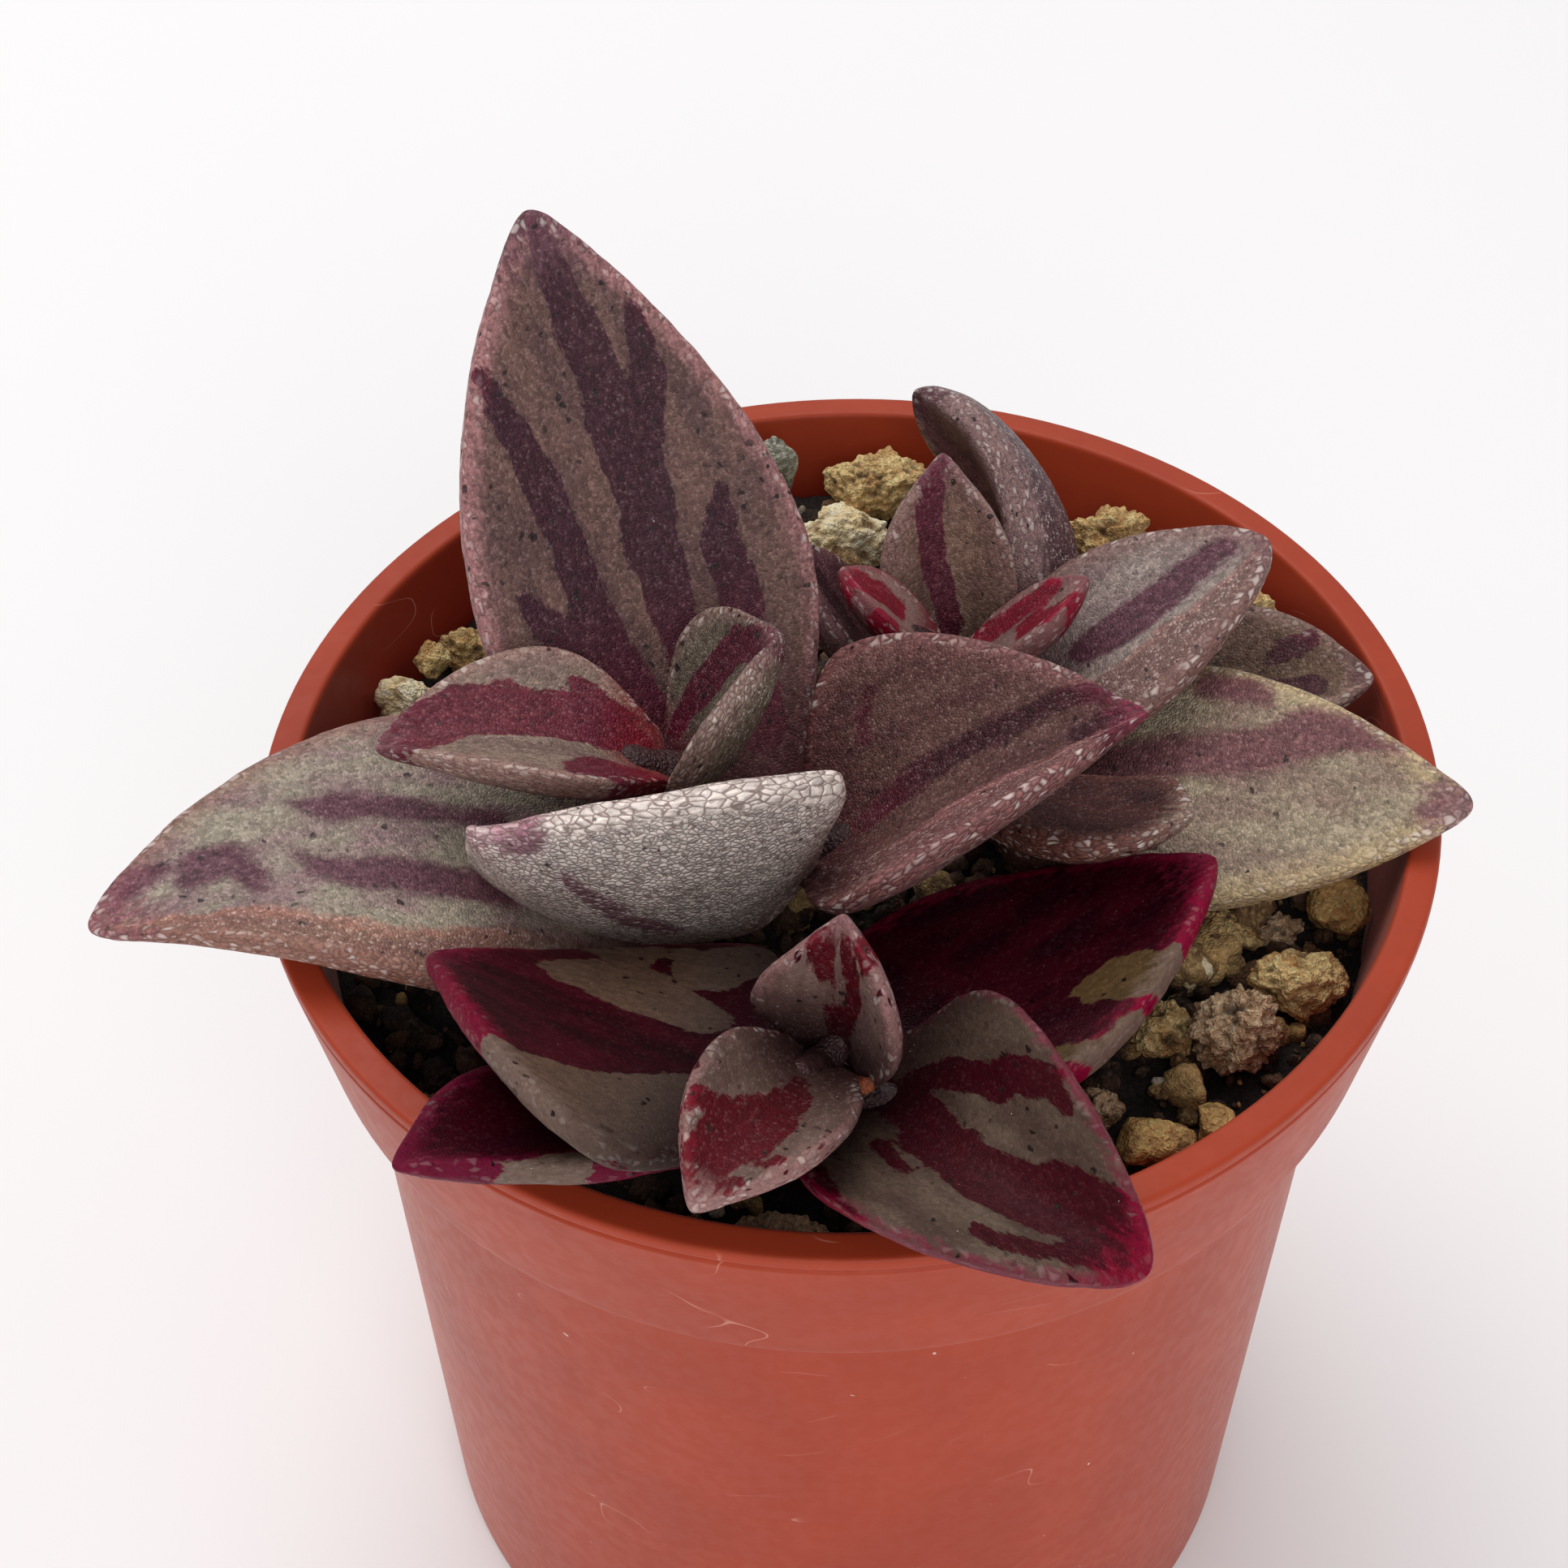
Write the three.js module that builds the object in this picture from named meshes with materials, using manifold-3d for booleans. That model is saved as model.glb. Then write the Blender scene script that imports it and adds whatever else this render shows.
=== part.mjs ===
// A small variegated succulent with three rosettes, growing in a round plastic nursery pot filled with gritty soil.
// Units are millimetres. +Z is up, -Y is the front, and the origin is the centre of the pot's underside.

import * as THREE from 'three';
import { mergeVertices } from 'three/addons/utils/BufferGeometryUtils.js';
import Module from 'manifold-3d';

const wasm = await Module();
wasm.setup();

// Pot: a 5.5 cm round pot with a collar band under the rim
const POT_HEIGHT = 50;
const RIM_RADIUS = 27.5;
const RIM_BAND = 1.45;
const COLLAR_HEIGHT = 8.75;
const COLLAR_FOOT_RADIUS = 26;
const BODY_TOP_RADIUS = 24.3;
const BASE_RADIUS = 22.4;
const WALL = 1.25;
const FLOOR = 1.6;
const EDGE_ROUND = 0.4;
const POT_SIDES = 48;

// The rim is squeezed a little, longest along this direction, and the base is round
const SQUEEZE = 0.027;
const SQUEEZE_HEADING = 1.28;

// Drainage holes in the floor
const DRAIN_COUNT = 5;
const DRAIN_RADIUS = 2.4;
const DRAIN_RING = 13;

// Soil: its top rises towards the back
const SOIL_HEIGHT = 44.2;
const SOIL_TILT = 0.07;
const SOIL_BUMP = 0.5;
const SOIL_RINGS = [4, 8.5, 13, 17.5, 21.5];
const SOIL_SIDES = 36;

// Clearance left between pieces that touch
const GAP = 0.25;

// Leaf mesh: cross sections along the leaf and points around each one
const LEAF_STATIONS = 11;
const LEAF_AROUND = 12;
const MIDLINE_STEPS = 40;
const TIP_END = 0.992;

// Repeatable random numbers between 0 and 1
function seeded(seed) {
  let state = seed;
  return () => {
    state = (state * 16807) % 2147483647;
    return state / 2147483647;
  };
}

// Closed meshes, joins and cuts

// Shares vertices that coincide and drops triangles with no area
function weld(geometry, tolerance = 1e-4) {
  const bare = geometry.clone();
  bare.deleteAttribute('normal');
  bare.deleteAttribute('uv');
  const shared = mergeVertices(bare, tolerance);
  const index = shared.index.array;
  const kept = [];
  for (let i = 0; i < index.length; i += 3) {
    const [a, b, c] = [index[i], index[i + 1], index[i + 2]];
    if (a !== b && b !== c && c !== a) {
      kept.push(a, b, c);
    }
  }
  shared.setIndex(kept);
  return shared;
}

function solidOf(geometry) {
  const shared = weld(geometry);
  return new wasm.Manifold(
    new wasm.Mesh({
      numProp: 3,
      vertProperties: new Float32Array(shared.attributes.position.array),
      triVerts: new Uint32Array(shared.index.array),
    }),
  );
}

function geometryOf(solid) {
  const cut = solid.getMesh();
  const geometry = new THREE.BufferGeometry();
  geometry.setAttribute('position', new THREE.BufferAttribute(new Float32Array(cut.vertProperties), 3));
  geometry.setIndex(new THREE.BufferAttribute(new Uint32Array(cut.triVerts), 1));
  return geometry;
}

function closedMesh(positions, triangles) {
  const geometry = new THREE.BufferGeometry();
  geometry.setAttribute('position', new THREE.Float32BufferAttribute(positions, 3));
  geometry.setIndex(triangles);
  return geometry;
}

// Leaves

// Every leaf has a foot on its stem, a heading (degrees from +X towards +Y) and a climb (degrees above level),
// each from foot to tip, a length, a half width, a thickness, a roll about its own length with a further twist
// by the tip, and a fold that lifts both margins by a share of the half width. Its outline is widest at the
// share `widest` of its length, starts at `footShare` of that width, narrows as `taper` says and ends bluntly
// with `tipShare` of it.
const LEAVES = [
  // Left rosette
  {
    name: 'leaf_left_upright', foot: [-5.6, -1, 47.3], heading: [125, 115], climb: [49, 57],
    length: 28.9, half: 8.1, thick: 2.4, roll: -3, twist: -1, fold: 0.1,
    widest: 0.39, footShare: 0.46, taper: 0.9, tipShare: 0.23, skin: 'aged',
  },
  {
    name: 'leaf_left_young_flat', foot: [-9.3, -2.9, 52.2], heading: [193, 185], climb: [34, -5],
    length: 12.2, half: 4.2, thick: 2.4, roll: -4, twist: 4, fold: 0.41,
    widest: 0.38, footShare: 0.46, taper: 0.9, tipShare: 0.18, skin: 'young',
  },
  {
    name: 'leaf_left_young_upright', foot: [-7.3, -2.4, 51.3], heading: [10, 11], climb: [64, 59],
    length: 8.6, half: 4.8, thick: 2.1, roll: -9, twist: -4, fold: 0.39,
    widest: 0.46, footShare: 0.5, taper: 1.16, tipShare: 0.32, skin: 'young',
  },
  {
    name: 'leaf_left_front', foot: [-4.7, -6.1, 46.9], heading: [219, 190], climb: [37, 39],
    length: 16.1, half: 9.3, thick: 2.7, roll: 58, twist: -7, fold: 0.22,
    widest: 0.25, footShare: 0.51, taper: 1.47, tipShare: 0.11, skin: 'aged',
  },
  {
    name: 'leaf_left_channelled', foot: [-0.8, -4.1, 48.2], heading: [-11, 1], climb: [46, 24],
    length: 16.4, half: 7, thick: 2.6, roll: 14, twist: -9, fold: 0.53,
    widest: 0.25, footShare: 0.41, taper: 0.9, tipShare: 0.09, skin: 'aged',
  },
  {
    name: 'leaf_left_long', foot: [-9.4, -4.8, 45.9], heading: [187, 211], climb: [36, -6],
    length: 25.7, half: 7.8, thick: 2.5, roll: -18, twist: 20, fold: 0.02,
    widest: 0.33, footShare: 0.74, taper: 0.9, tipShare: 0.22, skin: 'aged',
  },
  // Front rosette
  {
    name: 'leaf_front_young_rear', foot: [-0.6, -19.2, 52.2], heading: [56, 78], climb: [100, 89],
    length: 8.3, half: 3.3, thick: 1.8, roll: -5, twist: 1, fold: 0.38,
    widest: 0.35, footShare: 0.56, taper: 0.9, tipShare: 0.14, skin: 'young',
  },
  {
    name: 'leaf_front_young_near', foot: [-2.2, -21.5, 53.3], heading: [248, 245], climb: [34, 8],
    length: 11.4, half: 3.1, thick: 2.1, roll: -15, twist: 0, fold: 0.33,
    widest: 0.39, footShare: 0.57, taper: 1.12, tipShare: 0.22, skin: 'young',
  },
  {
    name: 'leaf_front_left', foot: [-4.1, -20.8, 52], heading: [163, 156], climb: [1, 15],
    length: 14.5, half: 10.3, thick: 2.3, roll: 20, twist: 21, fold: 0.06,
    widest: 0.25, footShare: 0.63, taper: 0.9, tipShare: 0.25, skin: 'maroon',
  },
  {
    name: 'leaf_front_right', foot: [0.9, -20.5, 50.3], heading: [295, 320], climb: [36, -2],
    length: 15.9, half: 5.3, thick: 2.6, roll: 18, twist: 9, fold: 0.46,
    widest: 0.31, footShare: 0.52, taper: 0.9, tipShare: 0.29, skin: 'maroon',
  },
  {
    name: 'leaf_front_dark', foot: [-2.1, -17.8, 47.7], heading: [26, 34], climb: [2, 17],
    length: 20.9, half: 6.7, thick: 2.5, roll: 0, twist: -22, fold: 0.11,
    widest: 0.44, footShare: 0.54, taper: 0.9, tipShare: 0.27, skin: 'maroon',
  },
  {
    name: 'leaf_front_low', foot: [-6.1, -19.3, 47.9], heading: [214, 219], climb: [34, 23],
    length: 16.3, half: 4.2, thick: 2.1, roll: 14, twist: -5, fold: 0.11,
    widest: 0.48, footShare: 0.6, taper: 0.98, tipShare: 0.19, skin: 'maroon',
  },
  // Rear rosette
  {
    name: 'leaf_rear_striped', foot: [5.3, 9, 46.6], heading: [109, 101], climb: [71, 79],
    length: 12.1, half: 3.3, thick: 2.1, roll: -13, twist: -1, fold: 0.4,
    widest: 0.46, footShare: 0.49, taper: 1.17, tipShare: 0.15, skin: 'aged',
  },
  {
    name: 'leaf_rear_young_left', foot: [3.6, 6.4, 51.3], heading: [164, 152], climb: [36, 41],
    length: 5.5, half: 1.8, thick: 1.7, roll: 6, twist: 14, fold: 0.22,
    widest: 0.43, footShare: 0.63, taper: 1.41, tipShare: 0.27, skin: 'young',
  },
  {
    name: 'leaf_rear_young_right', foot: [5.3, 6.3, 48.9], heading: [2, 18], climb: [40, 47],
    length: 8.3, half: 1.9, thick: 1.8, roll: -4, twist: -5, fold: 0.29,
    widest: 0.45, footShare: 0.61, taper: 1.43, tipShare: 0.28, skin: 'young',
  },
  {
    name: 'leaf_rear_right', foot: [8.4, 5.1, 48.1], heading: [13, 21], climb: [41, 25],
    length: 14.1, half: 5.2, thick: 2.3, roll: 3, twist: -1, fold: 0.13,
    widest: 0.36, footShare: 0.51, taper: 0.9, tipShare: 0.32, skin: 'aged',
  },
  {
    name: 'leaf_rear_hooked', foot: [10, 10.1, 47.2], heading: [81, 165], climb: [35, 34],
    length: 15.8, half: 3.9, thick: 3.1, roll: -112, twist: -6, fold: 0.06,
    widest: 0.51, footShare: 0.59, taper: 2, tipShare: 0.36, skin: 'aged',
  },
  {
    name: 'leaf_rear_purple', foot: [2.8, 7.6, 47.1], heading: [169, 134], climb: [42, 61],
    length: 9.5, half: 3, thick: 2, roll: 22, twist: 6, fold: 0.12,
    widest: 0.5, footShare: 0.62, taper: 1.47, tipShare: 0.14, skin: 'aged',
  },
  {
    name: 'leaf_rear_long', foot: [8.6, 3.9, 45.4], heading: [323, 343], climb: [23, 13],
    length: 22, half: 6.1, thick: 2.5, roll: 28, twist: 1, fold: 0,
    widest: 0.38, footShare: 0.41, taper: 0.9, tipShare: 0.24, skin: 'aged',
  },
  {
    name: 'leaf_rear_small', foot: [8.8, 8.7, 45.2], heading: [-6, -21], climb: [12, 23],
    length: 17.3, half: 4.4, thick: 2, roll: 10, twist: 18, fold: 0.17,
    widest: 0.5, footShare: 0.55, taper: 1.09, tipShare: 0.28, skin: 'aged',
  },
  // Low shoot between the rosettes
  {
    name: 'leaf_low_upper', foot: [6.3, 0.2, 48.4], heading: [299, 338], climb: [14, 35],
    length: 12.5, half: 3.6, thick: 2.3, roll: -15, twist: 7, fold: 0.03,
    widest: 0.53, footShare: 0.63, taper: 1.75, tipShare: 0.28, skin: 'aged',
  },
  {
    name: 'leaf_low_lower', foot: [7.9, -1.8, 46.4], heading: [309, 350], climb: [16, 24],
    length: 5.7, half: 2.1, thick: 2, roll: -5, twist: 1, fold: 0.18,
    widest: 0.46, footShare: 0.65, taper: 1.36, tipShare: 0.25, skin: 'aged',
  },
];

function widthShare(along, leaf) {
  const rise = Math.sin((Math.PI / 2) * Math.min(along / leaf.widest, 1));
  const past = Math.max((along - leaf.widest) / (1 - leaf.widest), 0);
  const fall = Math.cos((Math.PI / 2) * past ** leaf.taper);
  const share =
    along < leaf.widest ? leaf.footShare + (1 - leaf.footShare) * rise : leaf.tipShare + (1 - leaf.tipShare) * fall;
  return share * Math.sqrt(1 - along ** 10);
}

function thicknessShare(along) {
  return (0.72 + 0.28 * Math.sin(Math.PI * along)) * (1 - 0.25 * along ** 2) * Math.sqrt(1 - along ** 10);
}

function directionAt(along, leaf) {
  const heading = THREE.MathUtils.degToRad(THREE.MathUtils.lerp(...leaf.heading, along));
  const climb = THREE.MathUtils.degToRad(THREE.MathUtils.lerp(...leaf.climb, along));
  const level = Math.cos(climb);
  return {
    forward: new THREE.Vector3(level * Math.cos(heading), level * Math.sin(heading), Math.sin(climb)),
    left: new THREE.Vector3(-Math.sin(heading), Math.cos(heading), 0),
  };
}

function midlineAt(along, leaf) {
  const point = new THREE.Vector3(...leaf.foot);
  const step = (leaf.length * along) / MIDLINE_STEPS;
  for (let i = 0; i < MIDLINE_STEPS; i += 1) {
    const { forward } = directionAt((along * (i + 0.5)) / MIDLINE_STEPS, leaf);
    point.addScaledVector(forward, step);
  }
  return point;
}

// The axes of a cross section: across the blade, and out of its upper face
function sectionAxes(along, leaf) {
  const { forward, left } = directionAt(along, leaf);
  const roll = THREE.MathUtils.degToRad(leaf.roll + leaf.twist * along);
  const across = left.clone().applyAxisAngle(forward, roll);
  return { across, out: forward.clone().cross(across) };
}

// One point of a cross section: the underside is fuller along the middle, and the upper face is hollow there
function sectionPoint(along, turn, leaf, grow) {
  const side = Math.sign(Math.cos(turn)) * Math.abs(Math.cos(turn)) ** 0.85;
  const lift = Math.sign(Math.sin(turn)) * Math.abs(Math.sin(turn)) ** 0.8;
  const middle = 1 - Math.abs(side) ** 1.5;
  const swell = lift < 0 ? 1 + 0.45 * middle : 1 - 0.25 * middle;
  const half = leaf.half * widthShare(along, leaf) + grow;
  const thick = leaf.thick * thicknessShare(along) + 2 * grow;
  const folded = leaf.fold * Math.min(1, (1 - along) / 0.12 + 0.25) * half * Math.abs(side) ** 1.7;
  return { sideways: half * side, raised: (thick / 2) * lift * swell + folded };
}

// A closed leaf, or the same leaf grown all round by a clearance
function leafGeometry(leaf, grow = 0) {
  const positions = [];
  const triangles = [];
  const ahead = directionAt(1, leaf).forward;
  const behind = directionAt(0, leaf).forward;
  for (let i = 0; i < LEAF_STATIONS; i += 1) {
    const along = TIP_END * (1 - (1 - i / (LEAF_STATIONS - 1)) ** 1.35);
    const centre = midlineAt(along, leaf);
    const { across, out } = sectionAxes(along, leaf);
    if (i === 0) {
      centre.addScaledVector(behind, -grow);
    }
    for (let j = 0; j < LEAF_AROUND; j += 1) {
      const turn = (2 * Math.PI * j) / LEAF_AROUND;
      const { sideways, raised } = sectionPoint(along, turn, leaf, grow);
      const point = centre.clone().addScaledVector(across, sideways).addScaledVector(out, raised);
      positions.push(...point);
    }
  }
  const footCentre = midlineAt(0, leaf).addScaledVector(behind, -grow);
  const tip = midlineAt(1, leaf).addScaledVector(ahead, grow);
  const footIndex = LEAF_STATIONS * LEAF_AROUND;
  positions.push(...footCentre, ...tip);
  for (let j = 0; j < LEAF_AROUND; j += 1) {
    const next = (j + 1) % LEAF_AROUND;
    for (let i = 0; i < LEAF_STATIONS - 1; i += 1) {
      const [a, b] = [i * LEAF_AROUND + j, i * LEAF_AROUND + next];
      const [c, d] = [a + LEAF_AROUND, b + LEAF_AROUND];
      triangles.push(a, b, d, a, d, c);
    }
    const last = (LEAF_STATIONS - 1) * LEAF_AROUND;
    triangles.push(footIndex, next, j, footIndex + 1, last + j, last + next);
  }
  return closedMesh(positions, triangles);
}

// Stems: a short trunk through given points, with a stalk to the foot of each leaf
const STEMS = [
  {
    name: 'stem_left', trunk: [[-4.6, -3.8, 39], [-5.6, -3.6, 46.4], [-8.2, -2.7, 51.6]], radii: [1.7, 1.5, 1.1],
    leaves: 'leaf_left_',
  },
  {
    name: 'stem_front', trunk: [[-1.8, -17.2, 39], [-2.4, -19, 48], [-1.8, -20.4, 52.2]], radii: [1.5, 1.4, 0.9],
    leaves: 'leaf_front_',
  },
  {
    name: 'stem_rear', trunk: [[6.4, 6.8, 39], [6, 7, 46], [4.9, 6.8, 50.3]], radii: [1.6, 1.4, 0.9],
    leaves: 'leaf_rear_',
  },
  {
    name: 'stem_low', trunk: [[5, 0.6, 39], [5.6, 0.4, 44.5], [6, 0.6, 47.2]], radii: [1, 1, 0.8],
    leaves: 'leaf_low_',
  },
];
const STALK_INSIDE = 0.8;
const STALK_SHARE = 0.36;
const LIMB_SIDES = 8;

function limb(from, to, fromRadius, toRadius) {
  const run = to.clone().sub(from);
  const geometry = new THREE.CylinderGeometry(toRadius, fromRadius, run.length(), LIMB_SIDES);
  geometry.applyQuaternion(new THREE.Quaternion().setFromUnitVectors(new THREE.Vector3(0, 1, 0), run.normalize()));
  const middle = from.clone().add(to).multiplyScalar(0.5);
  geometry.translate(middle.x, middle.y, middle.z);
  return solidOf(geometry);
}

// A knuckle closes the bend between two stretches of trunk
function knuckle(centre, radius) {
  const geometry = new THREE.IcosahedronGeometry(radius * 1.08, 1);
  geometry.translate(centre.x, centre.y, centre.z);
  return solidOf(geometry);
}

function nearestOnTrunk(point, trunk) {
  let best = null;
  for (let i = 0; i < trunk.length - 1; i += 1) {
    const line = new THREE.Line3(trunk[i], trunk[i + 1]);
    const candidate = line.closestPointToPoint(point, true, new THREE.Vector3());
    if (best === null || candidate.distanceTo(point) < best.distanceTo(point)) {
      best = candidate;
    }
  }
  return best;
}

// A whole stem, or the same stem grown all round by a clearance
function stemSolid(stem, grow = 0) {
  const trunk = stem.trunk.map((place) => new THREE.Vector3(...place));
  const radii = stem.radii.map((radius) => radius + grow);
  trunk[0].z -= grow;
  let solid = limb(trunk[0], trunk[1], radii[0], radii[1]);
  solid = solid.add(limb(trunk[1], trunk[2], radii[1], radii[2]));
  solid = solid.add(knuckle(trunk[1], radii[1]));
  for (const leaf of LEAVES.filter((one) => one.name.startsWith(stem.leaves))) {
    const start = new THREE.Vector3(...leaf.foot);
    const end = start.clone().addScaledVector(directionAt(0, leaf).forward, STALK_INSIDE);
    const radius = STALK_SHARE * leaf.thick + grow;
    solid = solid.add(limb(nearestOnTrunk(start, trunk), end, radius * 1.15, radius));
  }
  return solid;
}

// Pot

// Radius multiplier of the squeezed pot at one height and direction
function squeeze(heading, height) {
  return 1 + SQUEEZE * (height / POT_HEIGHT) * Math.cos(2 * (heading - SQUEEZE_HEADING));
}

// Turns a profile of [radius, height] points about the pot's axis and squeezes it
function turned(profile, sides) {
  const outline = profile.map(([radius, height]) => new THREE.Vector2(radius, height));
  const geometry = new THREE.LatheGeometry(outline, sides);
  geometry.rotateX(Math.PI / 2);
  const shared = weld(geometry);
  const place = shared.attributes.position;
  for (let i = 0; i < place.count; i += 1) {
    const [x, y, z] = [place.getX(i), place.getY(i), place.getZ(i)];
    const share = squeeze(Math.atan2(y, x), z);
    place.setXY(i, x * share, y * share);
  }
  return shared;
}

const collarFoot = POT_HEIGHT - COLLAR_HEIGHT;
const innerRim = RIM_RADIUS - RIM_BAND;
const innerCollarFoot = COLLAR_FOOT_RADIUS - WALL;
const innerBodyTop = BODY_TOP_RADIUS - WALL;
const innerBase = BASE_RADIUS - WALL;

// Inside of the wall as [radius, height], from the rim down to the floor
function innerWall(inset) {
  return [
    [innerRim - inset, POT_HEIGHT],
    [innerCollarFoot - inset, collarFoot + WALL],
    [innerBodyTop - inset, collarFoot + 0.1],
    [innerBase - inset, FLOOR + inset],
  ];
}

function potGeometry() {
  const profile = [
    [0, 0],
    [BASE_RADIUS - EDGE_ROUND, 0],
    [BASE_RADIUS, EDGE_ROUND],
    [BODY_TOP_RADIUS, collarFoot],
    [COLLAR_FOOT_RADIUS - EDGE_ROUND / 2, collarFoot],
    [COLLAR_FOOT_RADIUS, collarFoot + EDGE_ROUND],
    [RIM_RADIUS, POT_HEIGHT - EDGE_ROUND],
    [RIM_RADIUS - EDGE_ROUND / 2, POT_HEIGHT],
    ...innerWall(0),
    [0, FLOOR],
  ];
  let solid = solidOf(turned(profile, POT_SIDES));
  for (let i = 0; i < DRAIN_COUNT; i += 1) {
    const heading = (2 * Math.PI * (i + 0.5)) / DRAIN_COUNT;
    const drill = new THREE.CylinderGeometry(DRAIN_RADIUS, DRAIN_RADIUS, FLOOR * 3, 12);
    drill.rotateX(Math.PI / 2);
    drill.translate(DRAIN_RING * Math.cos(heading), DRAIN_RING * Math.sin(heading), FLOOR / 2);
    solid = solid.subtract(solidOf(drill));
  }
  return geometryOf(solid);
}

// Soil

function soilTop(x, y, random) {
  return SOIL_HEIGHT + SOIL_TILT * y + SOIL_BUMP * (2 * random() - 1);
}

// The wall's inner radius at one height, less the clearance
function soilEdge(height) {
  const wall = innerWall(GAP);
  const rise = (height - wall[1][1]) / (wall[0][1] - wall[1][1]);
  return THREE.MathUtils.lerp(wall[1][0], wall[0][0], rise);
}

function soilGeometry() {
  const random = seeded(41);
  const [, collarStep, bodyTop, base] = innerWall(GAP);
  const positions = [0, 0, SOIL_HEIGHT, 0, 0, base[1]];
  const rings = [];
  const addRing = (radiusAt, heightAt) => {
    const first = positions.length / 3;
    for (let j = 0; j < SOIL_SIDES; j += 1) {
      const heading = (2 * Math.PI * j) / SOIL_SIDES;
      const flat = radiusAt(0);
      const height = heightAt(flat * Math.cos(heading), flat * Math.sin(heading));
      const radius = radiusAt(height) * squeeze(heading, height);
      positions.push(radius * Math.cos(heading), radius * Math.sin(heading), height);
    }
    rings.push(first);
  };
  for (const radius of SOIL_RINGS) {
    addRing(() => radius, (x, y) => soilTop(x, y, random));
  }
  addRing((height) => (height === 0 ? innerCollarFoot : soilEdge(height)), (x, y) => soilTop(x, y, random));
  for (const [radius, height] of [collarStep, bodyTop, base]) {
    addRing(() => radius, () => height);
  }
  const triangles = [];
  for (let j = 0; j < SOIL_SIDES; j += 1) {
    const next = (j + 1) % SOIL_SIDES;
    triangles.push(0, rings[0] + j, rings[0] + next);
    for (let k = 0; k < rings.length - 1; k += 1) {
      const [a, b] = [rings[k] + j, rings[k] + next];
      const [c, d] = [rings[k + 1] + j, rings[k + 1] + next];
      triangles.push(a, c, d, a, d, b);
    }
    const last = rings[rings.length - 1];
    triangles.push(1, last + next, last + j);
  }
  return closedMesh(positions, triangles);
}

// Stones: a centre, half sizes, how rough they are and what they are made of
const STONES = [
  { name: 'stone_gold_rear', at: [1.9, 23.2, 47.9], half: [2.9, 1.8, 2], rough: 0.14, look: 'gold' },
  { name: 'stone_cream_rear', at: [0, 19.9, 46.9], half: [2.4, 1.5, 1.7], rough: 0.1, look: 'cream' },
  { name: 'stone_grey_rear', at: [-3.4, 23.8, 48.3], half: [1.1, 0.9, 2.2], rough: 0.08, look: 'grey' },
  { name: 'stone_knob_rear', at: [13.6, 19, 47.5], half: [2.1, 1.6, 1.5], rough: 0.16, look: 'gold' },
  { name: 'stone_right_rear', at: [20.5, 12.4, 47.7], half: [1.2, 1.1, 1.3], rough: 0.12, look: 'gold' },
  { name: 'stone_olive_rear', at: [11.6, 20.4, 45.6], half: [1.4, 1.2, 1.1], rough: 0.12, look: 'cream' },
  { name: 'stone_cream_left', at: [-21.6, 8.3, 46.2], half: [1.3, 1.2, 1.3], rough: 0.1, look: 'cream' },
  { name: 'stone_gold_left', at: [-19, 12.6, 45.8], half: [1.2, 1.1, 1.1], rough: 0.12, look: 'gold' },
  { name: 'stone_amber_left', at: [-20.6, 10.9, 46.6], half: [0.9, 0.9, 0.8], rough: 0.12, look: 'gold' },
  { name: 'stone_ochre_right', at: [22.2, -4.7, 44.9], half: [1.5, 1.4, 1.3], rough: 0.05, look: 'ochre' },
  { name: 'stone_yellow_right', at: [19.8, -9.1, 44.6], half: [2, 1.4, 1.6], rough: 0.15, look: 'gold' },
  { name: 'stone_crumb_right', at: [16.9, -12, 45], half: [1.9, 1.6, 2], rough: 0.16, look: 'crumb' },
  { name: 'stone_amber_right', at: [13.6, -11.1, 43.9], half: [1.5, 1.3, 1.1], rough: 0.12, look: 'gold' },
  { name: 'stone_pale_right', at: [15.4, -7.9, 44.1], half: [0.9, 0.9, 1], rough: 0.08, look: 'cream' },
  { name: 'stone_flat_right', at: [17.4, -5.4, 44.1], half: [1.6, 1.1, 0.9], rough: 0.12, look: 'gold' },
  { name: 'stone_rough_right', at: [19.8, -5.5, 43.9], half: [1.1, 0.9, 0.8], rough: 0.14, look: 'crumb' },
  { name: 'stone_bean_front', at: [12.5, -18.4, 44.9], half: [1.6, 1.2, 1.2], rough: 0.08, look: 'ochre' },
  { name: 'stone_chip_front', at: [15.4, -17, 44.4], half: [0.9, 0.9, 1], rough: 0.1, look: 'ochre' },
  { name: 'stone_olive_front', at: [10.6, -15.4, 43.8], half: [1, 0.9, 0.8], rough: 0.14, look: 'crumb' },
  { name: 'stone_slab_front', at: [-3.2, -22.3, 43.8], half: [2.1, 0.9, 0.9], rough: 0.08, look: 'crumb' },
  { name: 'stone_grey_front', at: [-20.4, -10.6, 43.8], half: [0.9, 0.8, 0.7], rough: 0.1, look: 'grey' },
  { name: 'stone_dark_front', at: [-18.4, -13.6, 43.6], half: [0.8, 0.8, 0.7], rough: 0.12, look: 'crumb' },
];

function stoneGeometry(stone, grow = 0) {
  const random = seeded(5000 + Math.round(stone.at[0] * 100 + stone.at[1] * 10));
  const geometry = weld(new THREE.IcosahedronGeometry(1, 1));
  const place = geometry.attributes.position;
  const [a, b, c] = stone.half.map((size) => size + grow);
  for (let i = 0; i < place.count; i += 1) {
    const share = 1 + stone.rough * (2 * random() - 1);
    place.setXYZ(i, place.getX(i) * a * share, place.getY(i) * b * share, place.getZ(i) * c * share);
  }
  geometry.translate(...stone.at);
  return geometry;
}

// A dried brown stub beside the front rosette's young leaves
const STUB = { from: [-0.5, -20.4, 51.2], to: [0.1, -21.6, 52.6], radii: [0.55, 0.4] };

function stubSolid(grow = 0) {
  const [from, to] = [new THREE.Vector3(...STUB.from), new THREE.Vector3(...STUB.to)];
  return limb(from, to, STUB.radii[0] + grow, STUB.radii[1] + grow);
}

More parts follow.
